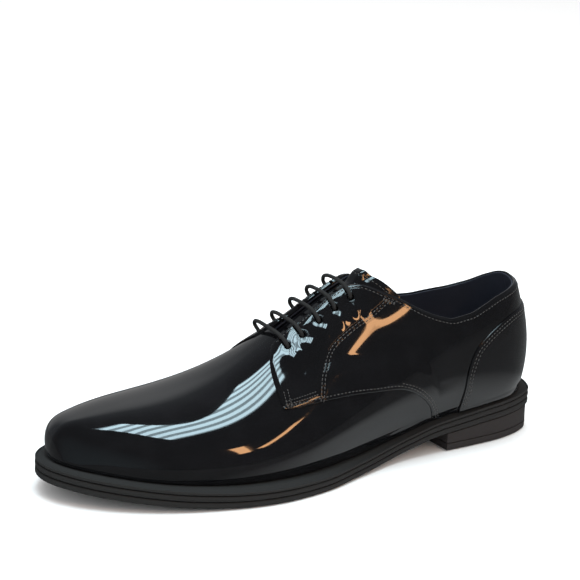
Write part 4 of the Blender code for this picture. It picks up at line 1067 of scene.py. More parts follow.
@dataclass
class Upper:
    """Vamp, quarters, heel foxing and the linings that show."""

    vamp_rows: int = 150
    vamp_columns: int = 190
    quarter_columns: int = 215
    quarter_rows: int = 96
    foxing_columns: int = 130
    foxing_rows: int = 56
    thickness: float = 1.0
    edge_taper: float = 1.1
    taper_width: float = 1.9
    lap_fade: float = 9.0
    lap_end: tuple[float, float] = (7.4, 8.5)
    skive: float = 0.22
    skive_width: float = 2.2
    dimple_width: float = 3.6
    bead: float = 0.42
    dimple: float = 0.35
    swell_heights: tuple[float, ...] = (0.7, 0.65, 0.8, 1.0, 1.1)
    swell_ahead: float = 0.05
    swell_drop: float = 0.5
    swell_width: float = 4.6
    swell_tail: float = 10.0
    seam_offset: float = 1.7
    quarters: dict[Side, Thing] = field(default_factory=dict)

    def build(self) -> list[Thing]:
        """Builds every piece of the upper and returns them."""
        pieces = [placed(self.vamp(), "shoe", PATENT, "vamp")]
        for side in Side:
            word = side.name.lower()
            quarter = self.quarter(side)
            self.quarters[side] = placed(quarter, "shoe", PATENT, f"quarter_{word}")
            pieces.append(quarter)
            pieces.append(placed(self.lining(side), "shoe", LINING, f"quarter_lining_{word}"))
        pieces.append(placed(self.foxing(), "shoe", PATENT, "heel_foxing"))
        return pieces

    def vamp(self) -> Thing:
        """Builds the vamp from the toe tip to its end under the quarters."""
        end = monotone([(v, s) for v, s in LAYERS.vamp_end])
        girths = np.linspace(0, GIRTH, self.vamp_columns)
        even = np.linspace(0, 1, self.vamp_rows)
        share = 0.35 * even**2 + 0.65 * even
        s = share[:, None] * end(np.minimum(girths, GIRTH - girths))[None]
        v = np.broadcast_to(girths, s.shape)
        outer, normal = skin(s, v, LAYERS.leather)
        inner, _ = skin(s, v, LAYERS.leather - self.thickness)
        low_outer, low_inner = hem(outer, inner, normal, 0, 0.0)
        outer, inner = hem(low_outer, low_inner, widened(normal), -1, 0.0)
        return leather_sheet("vamp_patent", outer, inner, 0.35, PATENT.material(), Rim.POINT)

    def quarter_grid(self, side: Side) -> tuple[Array, Array]:
        """Grid of (s, v) of a quarter, closer together round the lace holes, and its lower edge's s."""
        topline = LAYERS.topline(side)
        along = spaced(self.quarter_columns, 0.0, 0.24, 1.1)
        up = spaced(self.quarter_rows, 0.45, 0.96, 0.5)
        top_s = 4.88 + (LAYERS.back_s - 4.88) * along
        low_s = 4.52 + (LAYERS.back_s - 4.52) * along
        bottom = np.column_stack([low_s, monotone(LAYERS.lower_seam + ((12.0, 0.0),))(low_s)])
        top = np.column_stack([top_s, topline(top_s)])
        line = through(LAYERS.front_seam, 400)
        front = np.stack([np.interp(up, np.linspace(0, 1, 400), line[:, k]) for k in (0, 1)], axis=1)
        back = np.column_stack([np.full(len(up), LAYERS.back_s), up * top[-1, 1]])
        return coons(bottom, top, front, back, along, up), low_s

    def seam_lines(self, side: Side) -> list[tuple[Array, Array]]:
        """Lines that the needle follows on a quarter, as points and normals."""
        topline = LAYERS.topline(side)
        top_s = np.linspace(4.95, 11.98, 60)
        top = list(zip(top_s, topline(top_s)))
        rear = [(s, v) for s, v in LAYERS.lower_seam if s > 6.5]
        return [
            lifted(LAYERS.facing_row, 0.0, side),
            lifted(LAYERS.facing_row, -self.seam_offset, side),
            lifted(top, -2.6, side, 900),
            lifted(LAYERS.lower_seam, 1.4, side),
            lifted(rear, 3.0, side),
        ]

    def quarter(self, side: Side) -> Thing:
        """Builds a quarter with its lap over the vamp, thinned topline and lace holes."""
        grid, low_s = self.quarter_grid(side)
        s, v = grid[..., 0], grid[..., 1]
        base, normal = skin(s, v, LAYERS.leather, side)
        from_front = np.linalg.norm(base - base[:1], axis=-1)
        from_seam = np.linalg.norm(base - base[:, :1], axis=-1)
        from_top = np.linalg.norm(base - base[:, -1:], axis=-1)
        width = LAYERS.lap_width
        fade = width + self.lap_fade
        on_vamp = (1 - smoothstep(width, fade, from_seam)) * (1 - smoothstep(*self.lap_end, low_s))[:, None]
        lap = np.maximum(on_vamp, 1 - smoothstep(width, fade, from_front)) * (LAYERS.lap - LAYERS.leather)
        skived = self.skive * (1 - smoothstep(0.0, self.skive_width, np.minimum(from_front, from_seam)))
        taper = self.edge_taper * (1 - smoothstep(0.0, self.taper_width, from_top)) ** 1.4
        eyes, axes = LAYERS.eyelets(LAYERS.leather, side)
        from_eye = nearest(base, eyes)
        dimple = self.dimple * np.exp(-((from_eye / self.dimple_width) ** 2))
        crests, _ = LAYERS.eyelets(LAYERS.leather, side, self.swell_ahead, self.swell_drop)
        for crest, height in zip(crests, self.swell_heights):
            below = smoothstep(0.0, 0.8, LAYERS.eyelet_v - self.swell_drop - v)
            wide = self.swell_width + (self.swell_tail - self.swell_width) * below
            dimple = dimple - height * np.exp(-((np.linalg.norm(base - crest, axis=-1) / wide) ** 2))
        outer_depth = LAYERS.leather + lap - skived - taper - dimple
        inner_depth = outer_depth - self.thickness - 0.15 * taper / self.edge_taper
        outer, _ = skin(s, v, outer_depth, side)
        inner, _ = skin(s, v, inner_depth, side)
        share = smoothstep(7.78, 7.9, low_s)
        outer, inner = hem(outer, inner, normal, 0, 0.02, share)
        lines = np.vstack([points for points, _ in self.seam_lines(side)])
        marks = {"seam": widened(nearest(base, lines)), "eyelet": widened(from_eye)}
        name = f"quarter_{side.name.lower()}_patent"
        piece = leather_sheet(name, outer, inner, self.bead, PATENT.material(), reach=7, marks=marks)
        bored(piece, list(zip(eyes, axes)), LAYERS.hole_r)
        return piece

    def lining(self, side: Side) -> Thing:
        """Builds the lining of a quarter, up to just below the topline."""
        topline = LAYERS.topline(side)
        along, up = np.linspace(0, 1, 130), np.linspace(0, 1, 50)
        top_s = 5.0 + (LAYERS.back_s - 5.0) * along
        top_v = topline(top_s) - 0.012
        top_v[0] = LAYERS.lining_front[-1][1]
        top = np.column_stack([top_s, top_v])
        low_s = 4.63 + (LAYERS.back_s - 4.63) * along
        bottom = np.column_stack([low_s, np.zeros(len(low_s))])
        front = through(LAYERS.lining_front, 50)
        back = np.column_stack([np.full(50, LAYERS.back_s), up * top_v[-1]])
        grid = coons(bottom, top, front, back, along, up)
        outer, _ = skin(grid[..., 0], grid[..., 1], LAYERS.lining_t, side)
        inner, _ = skin(grid[..., 0], grid[..., 1], 0.0, side)
        outer[:, 0, 2] = SOLE.top(outer[:, 0, 0]) + LAYERS.insole_low
        inner[:, 0, 2] = SOLE.top(inner[:, 0, 0]) + LAYERS.insole_low
        name = f"quarter_lining_{side.name.lower()}_calf"
        piece = leather_sheet(name, outer, inner, 0.3, LINING.material())
        eyes, axes = LAYERS.eyelets(LAYERS.lining_t / 2, side)
        bored(piece, list(zip(eyes, axes)), LAYERS.hole_r)
        return piece

    def foxing(self) -> Thing:
        """Builds the outside counter round the heel."""
        edge = through(LAYERS.foxing_edge(), self.foxing_columns)
        top = np.vstack([edge, edge[-2::-1] * (-1, 1) + (2 * LAST.heel_s, 0)])
        first = LAYERS.foxing_low[0]
        low_s = np.linspace(first, 2 * LAST.heel_s - first, len(top))
        t = np.linspace(0, 1, self.foxing_rows)[None, :]
        s = low_s[:, None] * (1 - t) + top[:, :1] * t
        v = np.broadcast_to(top[:, 1:] * t, s.shape)
        base, outer, inner, normal = np.empty((4,) + s.shape + (3,))
        for depth, kept in ((LAYERS.leather, base), (LAYERS.lap, outer), (LAYERS.lap - self.thickness, inner)):
            for row in range(len(s)):
                side = Side.LATERAL if s[row].mean() <= LAST.heel_s else Side.MEDIAL
                folded = np.minimum(s[row], 2 * LAST.heel_s - s[row])
                kept[row], normal[row] = skin(folded, v[row], depth, side)
        line = np.vstack([base[:1, :].reshape(-1, 3), base[:, -1], base[-1:, :].reshape(-1, 3)])
        edge_distance = nearest(base, line)
        thin = 0.25 * (1 - smoothstep(0.0, 2.0, edge_distance))
        outer, inner = outer - normal * thin[..., None], inner - normal * thin[..., None]
        seam = np.minimum(*(np.abs(edge_distance - row) for row in LAYERS.foxing_seams))
        outer, inner = hem(outer, inner, normal, 0, 0.02)
        marks = {"seam": widened(seam)}
        marks["eyelet"] = np.full(marks["seam"].shape, FAR)
        return leather_sheet("heel_foxing_patent", outer, inner, 0.3, PATENT.material(), reach=6, marks=marks)


@dataclass
class Tongue:
    """The tongue, thin and glossy, with a row of stitches across its top."""

    base_s: float = 4.72
    top_s: float = 6.80
    thickness: float = 1.0
    rows: int = 110
    columns: int = 90
    row_below_top: float = 3.6
    sides: tuple[tuple[float, float], ...] = (
        (4.72, 3.12), (4.95, 2.92), (5.2, 2.5), (5.5, 2.22), (6.0, 2.02), (7.3, 1.95),
    )

    def grid(self) -> tuple[Array, Array]:
        """The (s, v) of the tongue, rows from its base to its top."""
        side_v = monotone(self.sides)
        across = np.linspace(-1, 1, self.columns)[None]
        along = np.linspace(0, 1, self.rows)[:, None]
        s = self.base_s + along * (self.top_s - self.base_s) + 0 * across
        for _ in range(6):
            half = LAST.ridge_v - side_v(s)
            s = self.base_s + along * (self.top_s + 0.12 * (across * half) ** 2 - self.base_s)
        return s, LAST.ridge_v + across * (LAST.ridge_v - side_v(s))

    @staticmethod
    def depth(s: Array, v: Array) -> Array:
        """Depth of the outer face: under the vamp at the base, and clear of the lace beside the ridge."""
        off = np.abs(v - LAST.ridge_v)
        beside = -0.6 - 2.9 * smoothstep(0.75, 1.08, off)
        end = -0.7 + 3.2 * (1 - smoothstep(0.35, 0.9, off))
        level = beside + (end - beside) * smoothstep(6.5, 6.75, s)
        start = smoothstep(4.74, 5.12, s)
        return 1.8 * (1 - start) + level * start

    def top_row(self) -> tuple[Array, Array]:
        """Line of the stitches below the top edge, and its normals."""
        s, v = self.grid()
        points, normal = skin(s, v, self.depth(s, v))
        below = np.linalg.norm(points - points[-1:], axis=-1)
        row = np.abs(below - self.row_below_top).argmin(axis=0)
        column = np.arange(self.columns)
        return points[row, column][6:-6], normal[row, column][6:-6]

    def build(self) -> list[Thing]:
        """Builds the tongue and its lining and returns them."""
        s, v = self.grid()
        depth = self.depth(s, v)
        outer, _ = skin(s, v, depth)
        inner, _ = skin(s, v, depth - self.thickness)
        line, _ = self.top_row()
        marks = {"seam": nearest(outer, line), "eyelet": np.full(s.shape, FAR)}
        tongue = leather_sheet("tongue_patent", outer, inner, 0.4, PATENT.material(), marks=marks)
        s_in, v_in = s[8:-2, 5:-5] - 0.012, v[8:-2, 5:-5]
        depth = self.depth(s_in, v_in)
        outer, _ = skin(s_in, v_in, depth - self.thickness - 0.15)
        inner, _ = skin(s_in, v_in, depth - self.thickness - 0.9)
        lining = leather_sheet("tongue_lining_twill", outer, inner, 0.25, LINING_CLOTH.material())
        return [
            placed(tongue, "tongue", PATENT, "tongue"),
            placed(lining, "tongue", LINING_CLOTH, "tongue_lining"),
        ]


# ---------------------------------------------------------------- the lace


@dataclass
class Lacing:
    """Round waxed lace through five pairs of holes, in straight bars."""

    radius: float = 1.1
    run_depth: float = -1.75
    far_rise: float = 2.6
    shift: float = 0.175
    samples: int = 1500

    def bar(self, number: int, start: Side) -> list[Array]:
        """Points of a bar over the shoe, from one hole to its partner.

        Args:
            number: Which pair of holes, 1 nearest the toe.
            start: Side that the bar comes from.

        Returns:
            The points, with the bar's far side raised in an open loop.
        """
        s = LAYERS.eyelet_s[number - 1]
        lap = 1.65 if number == 1 else 0.0
        rest = LAYERS.leather + self.radius + 0.3 + lap
        v0 = LAYERS.eyelet_v
        halves = []
        other = Side.MEDIAL if start is Side.LATERAL else Side.LATERAL
        for side in (start, other):
            if side is Side.MEDIAL:
                rise = rest + self.far_rise
                stops = [(v0, -0.7), (v0, 1.6), (v0 - 0.05, 3.8 + lap), (v0 - 0.02, rise), (v0 + 0.16, rise + 1.1),
                         (3.15, rise + 0.3), (3.5, rest + 0.4)]
            else:
                stops = [(v0, -0.7), (v0, 1.6), (v0 + 0.02, 3.6 + lap), (v0 + 0.16, rest + 0.1), (3.1, rest + 0.3),
                         (3.5, rest + 0.2)]
            halves.append([self.at(side, s, v, depth) for v, depth in stops])
        return halves[0] + [self.at(start, s, LAST.ridge_v, rest - 0.1)] + halves[1][::-1]

    @staticmethod
    def at(side: Side, s: float, v: float, depth: float) -> Array:
        """One point of the lace's centre line."""
        return skin(np.array([s]), np.array([v]), depth, side)[0][0]

    def under(self, side: Side, stops: Sequence[tuple[float, float]]) -> list[Array]:
        """Points of a run beneath one facing."""
        return [self.at(side, s, v, self.run_depth) for s, v in stops]

    def route(self) -> Array:
        """Centre line of the whole lace, from one tucked end to the other."""
        e, v0, k = LAYERS.eyelet_s, LAYERS.eyelet_v, self.shift
        out, inn = Side.LATERAL, Side.MEDIAL
        one = self.under(out, [(e[0] + 0.05, v0), (e[0] + 0.15, v0), (e[1] - 0.05, v0)])
        one += self.bar(2, out)
        one += self.under(inn, [(e[1] + 0.05, v0 + 0.03), (e[1] + 0.17, v0 + k * 0.6), (e[2], v0 + k),
                                (e[3] - 0.16, v0 + k * 0.6), (e[3] - 0.05, v0 + 0.03)])
        one += self.bar(4, inn)
        one += self.under(out, [(e[3] - 0.05, v0 + 0.03), (e[3] - 0.17, v0 + k), (e[3] - 0.33, v0 + 0.24)])
        two = self.under(inn, [(e[0] + 0.05, v0 - 0.03), (e[0] + 0.15, v0 - k * 0.6), (e[1], v0 - k),
                               (e[2] - 0.17, v0 - k * 0.6), (e[2] - 0.05, v0 - 0.03)])
        two += self.bar(3, inn)
        two += self.under(out, [(e[2] + 0.05, v0 - 0.03), (e[2] + 0.17, v0 - k * 0.6), (e[3], v0 - k),
                                (e[4] - 0.16, v0 - k * 0.6), (e[4] - 0.05, v0 - 0.03)])
        two += self.bar(5, out)
        two += self.under(inn, [(e[4] - 0.05, v0 - 0.03), (e[4] - 0.17, v0 - k), (e[4] - 0.33, v0 - 0.24)])
        line = np.array(one[::-1] + self.bar(1, out) + two)
        inner = 0.5 * line[1:-1] + 0.25 * (line[:-2] + line[2:])
        return through(np.vstack([line[:1], inner, line[-1:]]), self.samples)

    def build(self) -> list[Thing]:
        """Builds the lace and returns it in a list."""
        route = self.route()
        radius = np.full(len(route), self.radius)
        lace = swept("waxed_shoelace", route, radius, LACE.material())
        return [placed(lace, "shoe", LACE, "shoelace")]


# ---------------------------------------------------------------- stitches


def stitch_tree() -> bpy.types.NodeTree:
    """Geometry Nodes tree that lays stitches along lines, each line a run of edges with a lie vector."""
    tree = bpy.data.node_groups.new("stitch_rows", "GeometryNodeTree")
    face = tree.interface
    face.new_socket("Lines", in_out="INPUT", socket_type="NodeSocketGeometry")
    for name, value in (("Pitch", 0.0023), ("Length", 0.0018), ("Width", 0.0005), ("Height", 0.0004)):
        face.new_socket(name, in_out="INPUT", socket_type="NodeSocketFloat").default_value = value
    face.new_socket("Seed", in_out="INPUT", socket_type="NodeSocketInt").default_value = 7
    face.new_socket("Thread", in_out="INPUT", socket_type="NodeSocketMaterial")
    face.new_socket("Stitches", in_out="OUTPUT", socket_type="NodeSocketGeometry")
    graph = Graph(tree)
    given = graph.add("NodeGroupInput").outputs
    curve = graph.add("GeometryNodeMeshToCurve", {0: given["Lines"]})
    spread = {"Curve": curve.outputs[0], "Length": given["Pitch"]}
    even = graph.add("GeometryNodeResampleCurve", spread, mode="LENGTH")
    tangent = graph.add("GeometryNodeInputTangent").outputs[0]
    lie = graph.add("GeometryNodeInputNamedAttribute", {"Name": "lie"}, data_type="FLOAT_VECTOR").outputs[0]
    ahead = graph.add("FunctionNodeAlignRotationToVector", {"Vector": tangent}, axis="X")
    turned = graph.add("FunctionNodeAlignRotationToVector", {"Rotation": ahead.outputs[0], "Vector": lie},
                       axis="Z", pivot_axis="X")
    size = graph.add("ShaderNodeCombineXYZ", {0: given["Length"], 1: given["Width"], 2: given["Height"]})
    vary = graph.add("FunctionNodeRandomValue", {2: 0.44, 3: 0.54, "Seed": given["Seed"]}, data_type="FLOAT")
    scale = graph.add("ShaderNodeVectorMath", {0: size.outputs[0], "Scale": vary.outputs[1]}, operation="SCALE")
    grain = graph.add("GeometryNodeMeshUVSphere", {"Segments": 6, "Rings": 5, "Radius": 1.0})
    many = graph.add("GeometryNodeInstanceOnPoints", {"Points": even.outputs[0], "Instance": grain.outputs[0],
                                                      "Rotation": turned.outputs[0], "Scale": scale.outputs[0]})
    real = graph.add("GeometryNodeRealizeInstances", {0: many.outputs[0]})
    smooth = graph.add("GeometryNodeSetShadeSmooth", {0: real.outputs[0]})
    dressed = graph.add("GeometryNodeSetMaterial", {"Geometry": smooth.outputs[0], "Material": given["Thread"]})
    graph.add("NodeGroupOutput", {0: dressed.outputs[0]})
    return tree


@dataclass
class StitchRows:
    """Rows of stitches of one kind."""

    name: str
    body: str
    pitch: float
    length: float
    width: float = 0.62
    height: float = 0.56
    lines: list[tuple[Array, Array]] = field(default_factory=list)

    def lay(self, points: Array, normal: Array, bases: Sequence[Thing]) -> None:
        """Adds a line, dropped onto the outermost of the pieces below it.

        Args:
            points: Line near the surface, in millimetres.
            normal: Outward directions.
            bases: Pieces that it may lie on.
        """
        found, lies = [], []
        for place, out in zip(points, normal):
            start = Vector((place + out * 7 - CENTRE) * MM)
            hits = [base.ray_cast(start, Vector(-out), distance=0.016) for base in bases]
            hits = [hit for hit in hits if hit[0]]
            if hits:
                best = min(hits, key=lambda hit: (hit[1] - start).length)
                found.append(np.array(best[1]) / MM + CENTRE)
                lies.append(np.array(best[2]))
        if len(found) > 2:
            self.lines.append((np.array(found), np.array(lies)))

    def build(self, tree: bpy.types.NodeTree) -> Thing:
        """Builds the rows as one plain mesh.

        Args:
            tree: The stitch tree.

        Returns:
            The piece.
        """
        points = np.vstack([(p - CENTRE) * MM for p, _ in self.lines])
        edges, start = [], 0
        for line, _ in self.lines:
            edges += [(start + k, start + k + 1) for k in range(len(line) - 1)]
            start += len(line)
        mesh = bpy.data.meshes.new(self.name)
        mesh.from_pydata(points.tolist(), edges, [])
        lies = np.vstack([lie for _, lie in self.lines]).astype(np.float32)
        mesh.attributes.new("lie", "FLOAT_VECTOR", "POINT").data.foreach_set("vector", lies.ravel())
        piece = linked(self.name, mesh)
        rows = piece.modifiers.new("stitches", "NODES")
        rows.node_group = tree
        values = {"Pitch": self.pitch * MM, "Length": self.length * MM, "Width": self.width * MM,
                  "Height": self.height * MM, "Seed": 7, "Thread": THREAD.material()}
        for item in tree.interface.items_tree:
            if item.in_out == "INPUT" and item.name in values:
                rows[item.identifier] = values[item.name]
        baked(piece)
        return placed(piece, self.body, THREAD)


@dataclass
class Stitching:
    """Every row of stitches on the upper and the tongue."""

    pitch: float = 2.3
    length: float = 1.75
    corner_rows: tuple[tuple[tuple[float, float], ...], ...] = (
        ((4.60, 1.42), (4.90, 1.33), (5.16, 1.26)),
        ((4.58, 1.36), (4.88, 1.27), (5.18, 1.19)),
        ((4.60, 1.29), (4.90, 1.20), (5.20, 1.13)),
        ((4.62, 1.62), (4.60, 1.45), (4.59, 1.32)),
        ((4.70, 1.62), (4.68, 1.45), (4.67, 1.30)),
    )
    tack: tuple[tuple[float, float], ...] = ((6.93, 2.08), (7.02, 1.98), (7.10, 1.90))

    def build(self, upper: Upper, tongue: Tongue, tongue_piece: Thing, foxing: Thing) -> None:
        """Builds the rows.

        Args:
            upper: The finished upper.
            tongue: The tongue's sizes.
            tongue_piece: The tongue's leather.
            foxing: The outside counter.
        """
        tree = stitch_tree()
        seams = StitchRows("seam_stitches", "shoe", self.pitch, self.length)
        close = StitchRows("corner_stitches", "shoe", 1.5, 1.2, 0.6, 0.55)
        for side in Side:
            bases = [upper.quarters[side]]
            for points, normal in upper.seam_lines(side):
                seams.lay(points, normal, bases)
            for line in self.corner_rows:
                close.lay(*lifted(line, 0.0, side, 60), bases)
            for offset in (-0.5, 0.0, 0.5):
                close.lay(*lifted(self.tack, offset, side, 40), bases)
            for offset in LAYERS.foxing_seams:
                seams.lay(*lifted(LAYERS.foxing_edge(), -offset, side), [foxing])
        seams.build(tree)
        close.build(tree)
        top = StitchRows("tongue_stitches", "tongue", self.pitch, self.length)
        top.lay(*tongue.top_row(), [tongue_piece])
        top.build(tree)


# ---------------------------------------------------------------- sole, heel and taps


@dataclass
class Bottom:
    """Welt, midsole, outsole, heel and top lift, with soft moulded edges."""

    tap_inset: float = 6.0
    tap_t: float = 1.4
    tap_gap: float = 0.3
    cut_below: float = -2.0
    toe_tap_end: float = -92.0
    heel_tap_start: float = 104.0

    def build(self) -> list[Thing]:
        """Builds the sole and the heel and returns them."""
        low, mid = SOLE.outsole_share, SOLE.midsole_share
        rubber, heel = RUBBER.material(), HEEL_RUBBER.material()
        outsole = layered("outsole_rubber", self.band(0.0, low, 0.0, 1.4), rubber)
        midsole = layered("midsole_rubber", self.band(low, mid, 0.3, 0.0), rubber)
        welt = layered("welt_rubber", self.welt_rings(), rubber, hollow=True)
        toe_levels = (self.cut_below, self.tap_t - SOLE.tap_proud + self.tap_gap)
        self.cut(outsole, [SOLE.ring(self.tap_inset, SOLE.level(0, lift), 60) for lift in toe_levels],
                 keep_below=self.toe_tap_end)
        block = layered("heel_block_rubber", self.heel_rings(), heel)
        lift = layered("top_lift_rubber", self.lift_rings(), heel)
        heel_levels = (self.cut_below, self.tap_t + self.tap_gap)
        self.cut(lift, [SOLE.ring(self.tap_inset, self.flat(z), 60, self.heel_tap_start) for z in heel_levels])
        parts = ((outsole, RUBBER, "outsole"), (midsole, RUBBER, "midsole"), (welt, RUBBER, "welt"),
                 (block, HEEL_RUBBER, "heel_block"), (lift, HEEL_RUBBER, "top_lift"))
        return [placed(piece, "shoe", finish, node) for piece, finish, node in parts]

    @staticmethod
    def flat(height: float) -> Curve:
        """A level height."""
        return lambda x: np.full(len(x), height)

    @staticmethod
    def band(low: float, high: float, gap: float, round_in: float) -> list[Array]:
        """Rings of a layer with rounded upper and lower edges.

        Args:
            low: Share of the edge's thickness that it starts at.
            high: Share that it ends at.
            gap: Space under it.
            round_in: How far its lower edge is rounded in.

        Returns:
            Its rings from bottom to top.
        """
        level = SOLE.level
        foot = [(1.0 + round_in, 0.0), (0.55 + 0.5 * round_in, 0.12), (0.25 + 0.15 * round_in, 0.42), (0.05, 0.95)]
        rings = [SOLE.ring(inset, level(low, gap + lift)) for inset, lift in foot]
        rings += [SOLE.ring(0.0, level((low + high) / 2))]
        head = [(0.05, -0.8), (0.22, -0.4), (0.5, -0.14), (0.95, 0.0)]
        return rings + [SOLE.ring(inset, level(high, lift)) for inset, lift in head]

    @staticmethod
    def welt_rings() -> list[Array]:
        """Rings of the welt: a thin edge, a top that slopes up to a groove, and the inside."""
        level, mid, inner = SOLE.level, SOLE.midsole_share, SOLE.welt_width
        rings = [SOLE.ring(inset, level(mid, lift)) for inset, lift in ((0.95, 0.3), (0.5, 0.42), (0.2, 0.7))]
        head = [(0.1, -1.75), (0.12, -1.3), (0.28, -1.0), (0.6, -0.86), (0.95, -0.95), (1.2, -1.3), (1.5, -1.34),
                (3.6, -0.5), (4.4, -0.1), (4.9, 0.0), (inner, 0.0)]
        rings += [SOLE.ring(inset, level(1, lift)) for inset, lift in head]
        return rings + [SOLE.ring(inner, level(mid, 0.3))]

    def heel_rings(self) -> list[Array]:
        """Rings of the heel block, a little hollow between its edges."""
        floor, breast = SOLE.tap_proud + SOLE.lift_t + 0.3, SOLE.breast_x
        low, high = self.flat(floor), SOLE.level(0, -0.3)
        rings = [SOLE.ring(1.2, low, 90, breast + 0.3), SOLE.ring(0.85, self.flat(floor + 0.3), 90, breast)]
        for share in (0.25, 0.5, 0.75):
            part = (lambda w: lambda x: low(x) * (1 - w) + high(x) * w)(share)
            rings.append(SOLE.ring(0.85 + 0.5 * share * (1 - share), part, 90, breast))
        rings.append(SOLE.ring(0.9, SOLE.level(0, -0.6), 90, breast))
        return rings + [SOLE.ring(1.25, high, 90, breast + 0.3)]

    def lift_rings(self) -> list[Array]:
        """Rings of the top lift."""
        floor, high, breast = SOLE.tap_proud, SOLE.tap_proud + SOLE.lift_t, SOLE.breast_x
        places = ((1.5, floor, 0.5), (1.0, floor + 0.15, 0.2), (0.82, floor + 0.6, 0.0), (0.8, high - 0.4, 0.0),
                  (1.15, high, 0.2))
        return [SOLE.ring(inset, self.flat(z), 90, breast + dx) for inset, z, dx in places]

    def cut(self, target: Thing, rings: list[Array], keep_below: float | None = None) -> None:
        """Cuts the recess of a tap plate.

        Args:
            target: Piece to cut.
            rings: Lower and upper ring of the recess.
            keep_below: Only the part of the recess with x below this is cut.
        """
        if keep_below is not None:
            rings = [self.front_part(ring, keep_below) for ring in rings]
        carved(target, layered("recess", rings, RUBBER.material()))

    @staticmethod
    def front_part(ring: Array, x_to: float) -> Array:
        """The toe end of a ring, up to x_to, with as many points on both sides."""
        half = len(ring) // 2
        x = np.linspace(ring[0, 0], x_to, half)
        sides = [ring[:half], ring[half:][::-1]]
        made = [np.stack([x] + [np.interp(x, side[:, 0], side[:, k]) for k in (1, 2)], axis=1) for side in sides]
        return np.vstack([made[0], made[1][::-1]])


def dress_cad_nodes() -> None:
    """Gives every CAD node that stays its own procedural finish."""
    finishes = {
        "vamp_lining": LINING_CLOTH, "toe_puff": BOARD, "counter_stiffener": BOARD, "insole_board": BOARD,
        "sock_liner": LINING, "bottom_filler": CORK, "shank": SHANK_STEEL, "toe_tap": TAP_STEEL,
        "heel_tap": TAP_STEEL, "aglet_1": TIP, "aglet_2": TIP,
    }
    for name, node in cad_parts.items():
        if name.startswith("blind_eyelet"):
            finish = EYELET_METAL
        elif "_screw_" in name:
            finish = SCREW_STEEL
        elif name.startswith("facing_stay"):
            finish = TAPE
        elif name in finishes:
            finish = finishes[name]
        else:
            continue
        node.data.materials.clear()
        node.data.materials.append(finish.material())
        log.info("%s: CAD node in %s", name, finish.name)


# ---------------------------------------------------------------- studio


